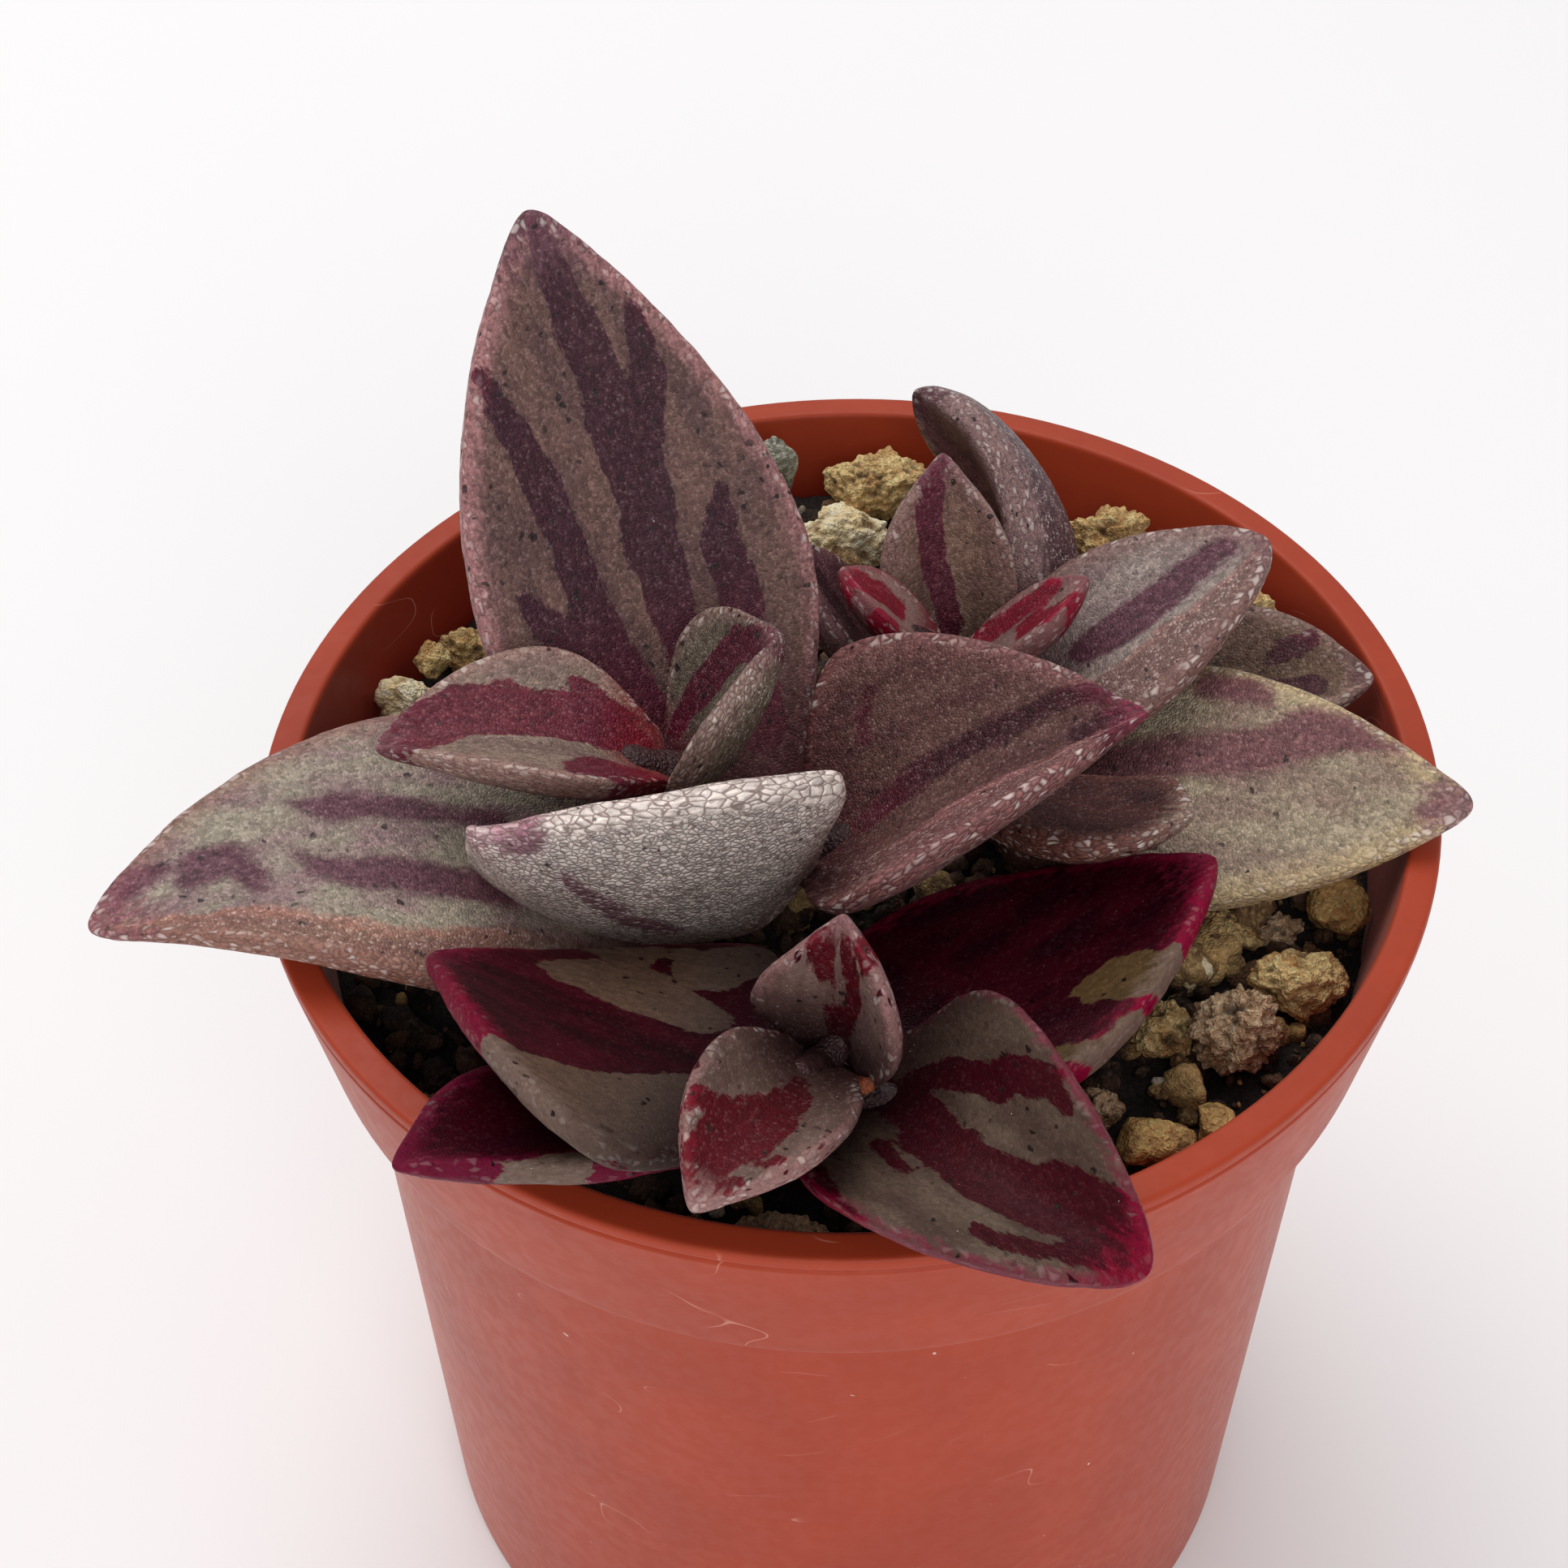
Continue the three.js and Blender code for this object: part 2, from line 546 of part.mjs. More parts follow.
// Materials
const LOOKS = {
  plastic: { color: 0xa8523a, roughness: 0.5 },
  soil: { color: 0x241b18, roughness: 0.95 },
  aged: { color: 0x7d6c69, roughness: 0.6 },
  young: { color: 0xa37883, roughness: 0.4 },
  maroon: { color: 0x5a1430, roughness: 0.35 },
  stalk: { color: 0x5f4a4c, roughness: 0.7 },
  dried: { color: 0x9a4a2c, roughness: 0.8 },
  gold: { color: 0xb08c4e, roughness: 0.85 },
  cream: { color: 0xbcb08e, roughness: 0.85 },
  grey: { color: 0x8d8d82, roughness: 0.85 },
  ochre: { color: 0xb48a56, roughness: 0.75 },
  crumb: { color: 0x8c7358, roughness: 0.95 },
};

const materials = {};
for (const [look, settings] of Object.entries(LOOKS)) {
  materials[look] = new THREE.MeshStandardMaterial({ ...settings, metalness: 0 });
}

// Assembly

const group = new THREE.Group();
const settled = [];

// Cuts a piece back where the grown shape of an earlier piece reaches into it
function settle(name, look, solid, grown) {
  let cut = solid;
  for (const earlier of settled) {
    if (cut.intersect(earlier).volume() > 0) {
      cut = cut.subtract(earlier);
    }
  }
  const mesh = new THREE.Mesh(geometryOf(cut), materials[look]);
  mesh.name = name;
  group.add(mesh);
  if (grown) {
    settled.push(grown);
  }
}

const pot = new THREE.Mesh(potGeometry(), materials.plastic);
pot.name = 'pot';
group.add(pot);
for (const leaf of LEAVES) {
  settle(leaf.name, leaf.skin, solidOf(leafGeometry(leaf)), solidOf(leafGeometry(leaf, GAP)));
}
settle('dried_stub', 'dried', stubSolid(), stubSolid(GAP));
for (const stone of STONES) {
  settle(stone.name, stone.look, solidOf(stoneGeometry(stone)), solidOf(stoneGeometry(stone, GAP)));
}
for (const stem of STEMS) {
  settle(stem.name, 'stalk', stemSolid(stem), stemSolid(stem, GAP));
}
settle('soil', 'soil', solidOf(soilGeometry()), null);

export default group;
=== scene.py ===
# %% [markdown]
# # A variegated succulent in a small nursery pot
#
# This lesson dresses a potted *Lenophyllum guttatum*. The real plant has low rosettes of thick, channelled leaves.
# Each leaf is grey, streaked with purple, and its skin is pebbled with tiny waxy cells. The rosettes sit in a gritty
# mix of dark soil, ochre gravel and crumbs of baked clay, in a round terracotta-coloured plastic pot.
#
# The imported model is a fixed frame: every piece here is made in the same place and size as its solid. The leaves
# are rebuilt smooth from the same leaf plans, so that their skin can carry fine detail.

# %% Load the frame and keep its box
import math

import bmesh
import bpy
import numpy as np
from mathutils import Matrix, Vector, noise


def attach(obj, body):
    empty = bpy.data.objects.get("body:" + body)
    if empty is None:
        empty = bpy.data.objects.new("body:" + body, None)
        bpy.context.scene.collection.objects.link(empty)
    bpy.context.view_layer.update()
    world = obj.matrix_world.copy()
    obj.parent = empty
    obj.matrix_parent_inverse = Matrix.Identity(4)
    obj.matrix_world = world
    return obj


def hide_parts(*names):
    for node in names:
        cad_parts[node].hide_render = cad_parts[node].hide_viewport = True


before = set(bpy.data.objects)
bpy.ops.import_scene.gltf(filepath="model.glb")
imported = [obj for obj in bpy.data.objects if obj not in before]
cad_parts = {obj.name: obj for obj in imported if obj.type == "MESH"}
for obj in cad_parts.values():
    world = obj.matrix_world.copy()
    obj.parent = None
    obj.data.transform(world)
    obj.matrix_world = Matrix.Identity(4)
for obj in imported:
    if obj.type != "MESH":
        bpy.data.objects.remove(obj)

MM = 0.001
SCENE = bpy.context.scene
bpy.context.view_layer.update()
print("nodes in the frame:", len(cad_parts))

# %% [markdown]
# ## Camera
#
# The photograph looks down at the pot from about 44 degrees above the table, from some 16 cm away. The place and
# direction come from the ellipses of the rim and the collar. A camera object takes them as a matrix whose columns are
# its right, up and back axes. The lens follows from the field of view: the frame is 36 mm wide on the sensor.

# %% Camera
def add_object(name, data):
    """Puts a mesh, curve, camera or light into the scene, as an object of the same name."""
    made = bpy.data.objects.new(name, data)
    SCENE.collection.objects.link(made)
    return made


CAMERA_PLACE = (-3.07, -88.65, 133.85)
CAMERA_BACK = Vector((0, -0.7198, 0.6942))
CAMERA_RIGHT = Vector((1, -0.0031, -0.0032))
CAMERA_LENS = 60.94


def make_camera():
    data = bpy.data.cameras.new("photo_camera")
    data.lens = CAMERA_LENS
    data.sensor_width = 36
    data.clip_start = 0.005
    camera = add_object(data.name, data)
    back = CAMERA_BACK.normalized()
    up = back.cross(CAMERA_RIGHT).normalized()
    right = up.cross(back)
    turn = Matrix((right, up, back)).transposed().to_4x4()
    camera.matrix_world = Matrix.Translation(Vector(CAMERA_PLACE) * MM) @ turn
    SCENE.camera = camera
    return camera


camera = make_camera()
print("camera is", round(camera.location.length / MM), "mm from the pot's base")

# %% [markdown]
# ## Helpers for node trees
#
# Shader trees and geometry trees are built the same way: add a node, fill its sockets, link the rest. `place` adds a
# node and fills its inputs with numbers or with other nodes' outputs. The other helpers wrap the kinds that return
# most often: arithmetic, a soft threshold, and a mix of two colours.

# %% Node helpers
def fill(tree, inputs, values):
    """Links each named or numbered input to another node's output, or gives it a value."""
    for key, value in values.items():
        if isinstance(value, bpy.types.NodeSocket):
            tree.links.new(value, inputs[key])
        else:
            inputs[key].default_value = value


def place(tree, kind, values=None, **settings):
    """Adds a node, sets its properties and fills its inputs."""
    node = tree.nodes.new(kind)
    for name, value in settings.items():
        setattr(node, name, value)
    fill(tree, node.inputs, values or {})
    return node


def calc(tree, operation, *values, clamp=False):
    return place(tree, "ShaderNodeMath", dict(enumerate(values)), operation=operation, use_clamp=clamp).outputs[0]


def times(tree, first, second):
    return calc(tree, "MULTIPLY", first, second)


def vector_calc(tree, operation, *values):
    return place(tree, "ShaderNodeVectorMath", dict(enumerate(values)), operation=operation).outputs[0]


def noise_at(tree, vector, scale, detail, **more):
    values = {"Vector": vector, "Scale": scale, "Detail": detail, **more}
    return place(tree, "ShaderNodeTexNoise", values).outputs


def fade(tree, value, low, high, start=0.0, end=1.0):
    """A soft threshold: start below low, end above high, smooth between."""
    values = {"Value": value, "From Min": low, "From Max": high, "To Min": start, "To Max": end}
    return place(tree, "ShaderNodeMapRange", values, interpolation_type="SMOOTHSTEP").outputs[0]


def mix(tree, factor, first, second):
    values = {0: factor, 6: first, 7: second}
    return place(tree, "ShaderNodeMix", values, data_type="RGBA", clamp_factor=True).outputs[2]


def lay(tree, colour, mask, share, over):
    """Lays a second colour over the first one, as far as the mask and the share let it."""
    return mix(tree, times(tree, mask, share), colour, over)


def new_tree(name, kind, inputs, outputs):
    """An empty node group with named sockets. Each input is (name, socket type, default)."""
    tree = bpy.data.node_groups.new(name, kind)
    for socket_name, socket_type, default in inputs:
        socket = tree.interface.new_socket(socket_name, in_out="INPUT", socket_type=socket_type)
        if default is not None:
            socket.default_value = default
    for socket_name, socket_type in outputs:
        tree.interface.new_socket(socket_name, in_out="OUTPUT", socket_type=socket_type)
    return tree, tree.nodes.new("NodeGroupInput").outputs, tree.nodes.new("NodeGroupOutput").inputs


FLOAT, VECTOR, WHOLE = "NodeSocketFloat", "NodeSocketVector", "NodeSocketInt"
GEOMETRY, MATERIAL = "NodeSocketGeometry", "NodeSocketMaterial"


def effect(tree, group, **inputs):
    """Places a shader group. Underscores in the keys stand for the spaces in its socket names."""
    values = {key.replace("_", " "): value for key, value in inputs.items()}
    return place(tree, "ShaderNodeGroup", values, node_tree=group).outputs


def rgb(red, green, blue):
    """A screen colour, 0 to 255, as the linear colour that a shader takes."""
    def linear(level):
        share = level / 255
        return share / 12.92 if share <= 0.04045 else ((share + 0.055) / 1.055) ** 2.4

    return (linear(red), linear(green), linear(blue), 1.0)


def shade_smooth(mesh):
    mesh.polygons.foreach_set("use_smooth", [True] * len(mesh.polygons))


def mesh_object(name, vertices, faces):
    """A smooth mesh object at the origin, from places in millimetres."""
    mesh = bpy.data.meshes.new(name)
    mesh.from_pydata([tuple(place_mm) for place_mm in np.asarray(vertices, float) * MM], [], faces)
    shade_smooth(mesh)
    mesh.update()
    return add_object(name, mesh)


print("helpers ready")

# %% [markdown]
# ## Shared surface effects
#
# Real surfaces share a few small effects, so each is one shader group with named inputs:
#
# - *Ragged edge* turns a distance in millimetres into a mask whose border wanders, as the border of a stripe does.
# - *Mottle* is soft cloudy variation, at a coarse and a fine size together.
# - *Speckles* are dots near one size, of which only a share is kept.
# - *Skin cells* are the rounded waxy cells of the epidermis: a height for the bump, dark joints and a tone per cell.
#
# Every group puts out values only. The Principled shader stays in each material.

# %% Ragged edge
def ragged_edge_group():
    inputs = [("Distance", FLOAT, 0), ("Vector", VECTOR, None), ("Wander", FLOAT, 0.4), ("Softness", FLOAT, 0.08)]
    tree, given, out = new_tree("Ragged edge", "ShaderNodeTree", inputs, [("Mask", FLOAT)])
    streaky = vector_calc(tree, "MULTIPLY", given["Vector"], (1.0, 0.4, 1.0))
    coarse = noise_at(tree, streaky, 0.9, 2.0)["Fac"]
    fine = noise_at(tree, streaky, 4.5, 2.0, Roughness=0.7)["Fac"]
    coarse_shift = calc(tree, "SUBTRACT", coarse, 0.5)
    fine_shift = times(tree, calc(tree, "SUBTRACT", fine, 0.5), 0.5)
    shift = times(tree, calc(tree, "ADD", coarse_shift, fine_shift), given["Wander"])
    moved = calc(tree, "MULTIPLY_ADD", shift, 2.5, given["Distance"])
    low = times(tree, given["Softness"], -1.0)
    fill(tree, out, {"Mask": fade(tree, moved, low, given["Softness"])})
    return tree


ragged_edge = ragged_edge_group()
print("made group:", ragged_edge.name)

# %% Mottle and speckles
def mottle_group():
    inputs = [("Vector", VECTOR, None), ("Coarse size", FLOAT, 2.5), ("Fine size", FLOAT, 0.4)]
    tree, given, out = new_tree("Mottle", "ShaderNodeTree", inputs, [("Coarse", FLOAT), ("Fine", FLOAT)])
    for size, output in (("Coarse size", "Coarse"), ("Fine size", "Fine")):
        scale = calc(tree, "DIVIDE", 1.0, given[size])
        clouds = noise_at(tree, given["Vector"], scale, 2.0)["Fac"]
        fill(tree, out, {output: fade(tree, clouds, 0.34, 0.66)})
    return tree


def shaken(tree, vector, scale, reach):
    """The place moved by smooth noise, so that the cells of a pattern stop looking regular."""
    wobble = noise_at(tree, vector, scale, 0.0)["Color"]
    return vector_calc(tree, "ADD", vector, vector_calc(tree, "MULTIPLY", wobble, (reach,) * 3))


def speckles_group():
    inputs = [("Vector", VECTOR, None), ("Spacing", FLOAT, 0.6), ("Size", FLOAT, 0.3), ("Share", FLOAT, 0.4)]
    tree, given, out = new_tree("Speckles", "ShaderNodeTree", inputs, [("Mask", FLOAT)])
    scale = calc(tree, "DIVIDE", 1.0, given["Spacing"])
    vector = shaken(tree, given["Vector"], 3.0, 0.35)
    cells = place(tree, "ShaderNodeTexVoronoi", {"Vector": vector, "Scale": scale})
    chosen = place(tree, "ShaderNodeSeparateColor", {"Color": cells.outputs["Color"]}).outputs[0]
    kept = calc(tree, "LESS_THAN", chosen, given["Share"])
    radius = times(tree, given["Size"], calc(tree, "MULTIPLY_ADD", chosen, 0.8, 0.5))
    dot = fade(tree, cells.outputs["Distance"], times(tree, radius, 0.6), radius, 1.0, 0.0)
    fill(tree, out, {"Mask": times(tree, dot, kept)})
    return tree


mottle = mottle_group()
speckles = speckles_group()
print("made groups:", mottle.name, "and", speckles.name)

# %% Skin cells
def skin_cells_group():
    inputs = [("Vector", VECTOR, None), ("Cell size", FLOAT, 0.3)]
    outputs = [("Height", FLOAT), ("Joint", FLOAT), ("Tone", FLOAT)]
    tree, given, out = new_tree("Skin cells", "ShaderNodeTree", inputs, outputs)
    scale = calc(tree, "DIVIDE", 1.0, given["Cell size"])
    vector = shaken(tree, given["Vector"], 2.2, 0.2)
    edges = place(tree, "ShaderNodeTexVoronoi", {"Vector": vector, "Scale": scale}, feature="DISTANCE_TO_EDGE")
    cells = place(tree, "ShaderNodeTexVoronoi", {"Vector": vector, "Scale": scale})
    tone = place(tree, "ShaderNodeSeparateColor", {"Color": cells.outputs["Color"]}).outputs[1]
    edge = edges.outputs["Distance"]
    joint = fade(tree, edge, 0.02, 0.12, 1.0, 0.0)
    fill(tree, out, {"Height": fade(tree, edge, 0.0, 0.32), "Joint": joint, "Tone": tone})
    return tree


skin_cells = skin_cells_group()
print("made group:", skin_cells.name)

# %% [markdown]
# ## Leaf plans
#
# A real leaf of this plant is a thick spoon: narrow at its foot, widest before its middle, blunt at its tip, hollow
# along its upper face and rounded below. The frame's solids follow one leaf rule with a few numbers per leaf, and the
# same numbers are used here, so the fine leaf lies exactly where its solid lies.
#
# The numbers are the place of the foot, the heading and climb of the midline at the foot and at the tip, the length,
# the half width and thickness, the roll and twist about the midline, the fold of the channel, and three that shape
# the outline: where the leaf is widest, how wide its foot and its tip are, and how fast it narrows.

# %% Leaf plans
def plan(foot, heading, climb, size, turn, outline):
    """One leaf: size is length, half width and thickness; turn is roll, twist and fold."""
    length, half, thick = size
    roll, twist, fold = turn
    widest, foot_share, taper, tip_share = outline
    return {
        "foot": np.array(foot), "heading": heading, "climb": climb, "length": length, "half": half, "thick": thick,
        "roll": roll, "twist": twist, "fold": fold, "widest": widest, "foot_share": foot_share, "taper": taper,
        "tip_share": tip_share,
    }


LEFT_LEAVES = {
    "leaf_left_upright": plan(
        (-5.6, -1, 47.3), (125, 115), (49, 57), (28.9, 8.1, 2.4), (-3, -1, 0.1), (0.39, 0.46, 0.9, 0.23)),
    "leaf_left_young_flat": plan(
        (-9.3, -2.9, 52.2), (193, 185), (34, -5), (12.2, 4.2, 2.4), (-4, 4, 0.41), (0.38, 0.46, 0.9, 0.18)),
    "leaf_left_young_upright": plan(
        (-7.3, -2.4, 51.3), (10, 11), (64, 59), (8.6, 4.8, 2.1), (-9, -4, 0.39), (0.46, 0.5, 1.16, 0.32)),
    "leaf_left_front": plan(
        (-4.7, -6.1, 46.9), (219, 190), (37, 39), (16.1, 9.3, 2.7), (58, -7, 0.22), (0.25, 0.51, 1.47, 0.11)),
    "leaf_left_channelled": plan(
        (-0.8, -4.1, 48.2), (-11, 1), (46, 24), (16.4, 7, 2.6), (14, -9, 0.53), (0.25, 0.41, 0.9, 0.09)),
    "leaf_left_long": plan(
        (-9.4, -4.8, 45.9), (187, 211), (36, -6), (25.7, 7.8, 2.5), (-18, 20, 0.02), (0.33, 0.74, 0.9, 0.22)),
}
FRONT_LEAVES = {
    "leaf_front_young_rear": plan(
        (-0.6, -19.2, 52.2), (56, 78), (100, 89), (8.3, 3.3, 1.8), (-5, 1, 0.38), (0.35, 0.56, 0.9, 0.14)),
    "leaf_front_young_near": plan(
        (-2.2, -21.5, 53.3), (248, 245), (34, 8), (11.4, 3.1, 2.1), (-15, 0, 0.33), (0.39, 0.57, 1.12, 0.22)),
    "leaf_front_left": plan(
        (-4.1, -20.8, 52), (163, 156), (1, 15), (14.5, 10.3, 2.3), (20, 21, 0.06), (0.25, 0.63, 0.9, 0.25)),
    "leaf_front_right": plan(
        (0.9, -20.5, 50.3), (295, 320), (36, -2), (15.9, 5.3, 2.6), (18, 9, 0.46), (0.31, 0.52, 0.9, 0.29)),
    "leaf_front_dark": plan(
        (-2.1, -17.8, 47.7), (26, 34), (2, 17), (20.9, 6.7, 2.5), (0, -22, 0.11), (0.44, 0.54, 0.9, 0.27)),
    "leaf_front_low": plan(
        (-6.1, -19.3, 47.9), (214, 219), (34, 23), (16.3, 4.2, 2.1), (14, -5, 0.11), (0.48, 0.6, 0.98, 0.19)),
}
REAR_LEAVES = {
    "leaf_rear_striped": plan(
        (5.3, 9, 46.6), (109, 101), (71, 79), (12.1, 3.3, 2.1), (-13, -1, 0.4), (0.46, 0.49, 1.17, 0.15)),
    "leaf_rear_young_left": plan(
        (3.6, 6.4, 51.3), (164, 152), (36, 41), (5.5, 1.8, 1.7), (6, 14, 0.22), (0.43, 0.63, 1.41, 0.27)),
    "leaf_rear_young_right": plan(
        (5.3, 6.3, 48.9), (2, 18), (40, 47), (8.3, 1.9, 1.8), (-4, -5, 0.29), (0.45, 0.61, 1.43, 0.28)),
    "leaf_rear_right": plan(
        (8.4, 5.1, 48.1), (13, 21), (41, 25), (14.1, 5.2, 2.3), (3, -1, 0.13), (0.36, 0.51, 0.9, 0.32)),
    "leaf_rear_hooked": plan(
        (10, 10.1, 47.2), (81, 165), (35, 34), (15.8, 3.9, 3.1), (-112, -6, 0.06), (0.51, 0.59, 2, 0.36)),
    "leaf_rear_purple": plan(
        (2.8, 7.6, 47.1), (169, 134), (42, 61), (9.5, 3, 2), (22, 6, 0.12), (0.5, 0.62, 1.47, 0.14)),
    "leaf_rear_long": plan(
        (8.6, 3.9, 45.4), (323, 343), (23, 13), (22, 6.1, 2.5), (28, 1, 0), (0.38, 0.41, 0.9, 0.24)),
    "leaf_rear_small": plan(
        (8.8, 8.7, 45.2), (-6, -21), (12, 23), (17.3, 4.4, 2), (10, 18, 0.17), (0.5, 0.55, 1.09, 0.28)),
}
LOW_LEAVES = {
    "leaf_low_upper": plan(
        (6.3, 0.2, 48.4), (299, 338), (14, 35), (12.5, 3.6, 2.3), (-15, 7, 0.03), (0.53, 0.63, 1.75, 0.28)),
    "leaf_low_lower": plan(
        (7.9, -1.8, 46.4), (309, 350), (16, 24), (5.7, 2.1, 2), (-5, 1, 0.18), (0.46, 0.65, 1.36, 0.25)),
}
LEAVES = {**LEFT_LEAVES, **FRONT_LEAVES, **REAR_LEAVES, **LOW_LEAVES}
print("leaf plans:", len(LEAVES))

# %% [markdown]
# ## Stripes and patches
#
# What makes this plant variegated is pigment that follows the leaf: purple stripes on the grey leaves, grey patches
# on the maroon ones, crimson dashes on the young ones. Each mark is drawn here as a short line on the leaf,
# as (along, across, half width): along runs from 0 at the foot to 1 at the tip, across from -1 at the right margin to
# 1 at the left one, and the half width is in millimetres. The mesh then stores, at every point, how deep inside a
# mark it lies, and the material turns that distance into a ragged border.

# %% Marks on the left rosette
MARKS = {
    "leaf_left_upright": [
        [(0.2, -0.1, 0.5), (0.35, -0.1, 1), (0.6, -0.2, 1.35), (0.75, -0.15, 0.9), (0.9, -0.1, 0.65), (0.98, 0, 0.1)],
        [(0.6, -0.25, 1), (0.72, -0.55, 0.75), (0.82, -0.8, 0.2)],
        [(0.2, 0.25, 0.7), (0.35, 0.35, 0.8), (0.55, 0.4, 0.8), (0.68, 0.6, 0.7), (0.78, 0.9, 0.25)],
        [(0.3, 0.4, 0.5), (0.37, 0.6, 0.65), (0.45, 0.75, 0.15)],
        [(0.12, -0.5, 1.2), (0.3, -0.5, 0.8), (0.42, -0.5, 0.85), (0.5, -0.6, 0.2)],
    ],
    "leaf_left_young_flat": [
        [(0, -0.2, 0.4), (0.1, -0.3, 0.7), (0.3, -0.25, 1.1), (0.7, -0.35, 1), (0.88, 0.1, 1.3), (0.96, 0.5, 0.3)],
        [(0.1, 0.8, 0.9), (0.22, 0.65, 1.3), (0.34, 0.7, 0.6)],
        [(0.05, -0.4, 0.2), (0.2, -0.57, 0.25), (0.3, -0.65, 0.1)],
    ],
    "leaf_left_young_upright": [
        [(0.1, 0.55, 0.4), (0.28, 0.45, 0.6), (0.5, 0.37, 0.8), (0.75, 0.35, 0.7), (0.97, -0.2, 0.7)],
    ],
    "leaf_left_front": [
        [(0.3, -0.05, 0.5), (0.45, 0, 0.5), (0.6, 0.1, 0.5), (0.75, 0.3, 0.2)],
        [(0.88, 0.75, 0.3), (0.92, 0.82, 0.6), (0.96, 1, 0.1)],
    ],
    "leaf_left_channelled": [
        [(0.14, 0, 0.45), (0.3, 0.08, 0.6), (0.4, 0.12, 0.6), (0.55, 0.22, 0.45), (0.75, 0.4, 0.3), (0.88, 0.68, 0.25)],
        [(0.81, -0.05, 0.35), (0.92, -0.65, 1.1), (0.98, -0.6, 0.8)],
        [(0.9, 0.67, 0.28), (0.95, 0.95, 0.4)],
        [(0.22, 0.53, 0.28), (0.29, 0.7, 0.16)],
    ],
    "leaf_left_long": [
        [(0.3, -0.2, 0.3), (0.42, -0.25, 0.5), (0.5, -0.3, 0.4), (0.57, -0.35, 0.7), (0.63, -0.45, 0.2)],
        [(0.3, 0.28, 0.8), (0.45, 0.27, 0.95), (0.55, 0.22, 0.8), (0.61, 0.15, 0.6), (0.65, 0, 0.2)],
        [(0.73, -0.02, 0.25), (0.73, 0.15, 0.6), (0.73, 0.27, 0.25)],
        [(0.76, -0.13, 0.7), (0.8, -0.15, 0.85), (0.83, -0.05, 0.3)],
        [(0.86, -0.4, 0.35), (0.91, -0.47, 0.65), (0.95, -0.55, 0.5)],
    ],
}
print("marks on the left rosette:", sum(len(lines) for lines in MARKS.values()))

# %% Marks on the front rosette
MARKS.update({
    "leaf_front_left": [
        [(0.16, -0.28, 0.3), (0.25, -0.28, 1.2), (0.37, -0.33, 1.6), (0.5, -0.42, 2), (0.63, -0.45, 1.2),
         (0.72, -0.5, 0.3)],
        [(0.48, -0.82, 0.35), (0.54, -0.73, 0.85), (0.64, -0.92, 0.6)],
        [(0.2, -0.8, 1.4), (0.29, -0.67, 1.7), (0.39, -0.78, 0.65)],
        [(0.15, 0.38, 1.3), (0.24, 0.7, 2.6), (0.35, 0.85, 2.6), (0.45, 0.92, 1.8), (0.55, 0.98, 0.7), (0.65, 1, 0.15)],
    ],
    "leaf_front_low": [[(0.64, 0.97, 0.35), (0.7, 0.98, 0.4), (0.8, 1, 0.1)]],
    "leaf_front_young_near": [
        [(0.2, 0.12, 0.2), (0.4, 0.06, 0.5), (0.58, -0.08, 0.95), (0.72, -0.2, 1.1), (0.8, -0.3, 0.8)],
        [(0.72, -0.25, 0.8), (0.85, -0.5, 0.7), (0.96, -0.75, 0.3)],
        [(0.6, -0.35, 0.5), (0.66, -0.75, 0.35), (0.72, -0.92, 0.15)],
        [(0.85, 0.5, 0.25), (0.9, 0.6, 0.2)],
        [(0.3, 0.28, 0.08), (0.5, 0.36, 0.14), (0.7, 0.42, 0.1)],
        [(0.7, 0.68, 0.18), (0.75, 0.56, 0.18)],
    ],
    "leaf_front_young_rear": [
        [(0.1, 0.05, 0.1), (0.34, 0.05, 0.16), (0.48, 0.12, 0.16), (0.67, 0.25, 0.22), (0.83, 0.45, 0.32),
         (0.95, 0.62, 0.15)],
        [(0.1, -0.12, 0.1), (0.4, -0.22, 0.14), (0.56, -0.24, 0.16), (0.73, -0.32, 0.24), (0.9, -0.3, 0.12)],
        [(0.78, -0.72, 0.1), (0.83, -0.85, 0.25), (0.9, -1, 0.15)],
    ],
    "leaf_front_right": [
        [(0.1, 0.28, 0.3), (0.26, 0.35, 0.5), (0.4, 0.47, 0.54), (0.5, 0.62, 0.53), (0.6, 0.8, 0.45), (0.66, 0.8, 0.1)],
        [(0, 0, 0.5), (0.3, -0.05, 0.75), (0.55, -0.12, 0.95), (0.75, 0.08, 1.2), (0.86, 0.27, 0.95),
         (0.95, 0.4, 0.95)],
        [(0.26, -0.37, 0.14), (0.4, -0.45, 0.16)],
        [(0.66, -0.63, 0.23), (0.79, -0.53, 0.15), (0.87, -0.33, 0.5), (0.96, 0.13, 0.6)],
        [(0.29, -0.93, 0.24), (0.4, -0.98, 0.26), (0.46, -1, 0.12)],
    ],
    "leaf_front_dark": [
        [(0.55, -0.45, 0.2), (0.59, -0.55, 0.85), (0.65, -0.7, 1.4), (0.7, -0.92, 0.85), (0.76, -1, 0.15)],
        [(0.44, -0.85, 0.33), (0.5, -1, 0.3), (0.6, -1, 0.15)],
    ],
})
print("leaves with marks so far:", len(MARKS))

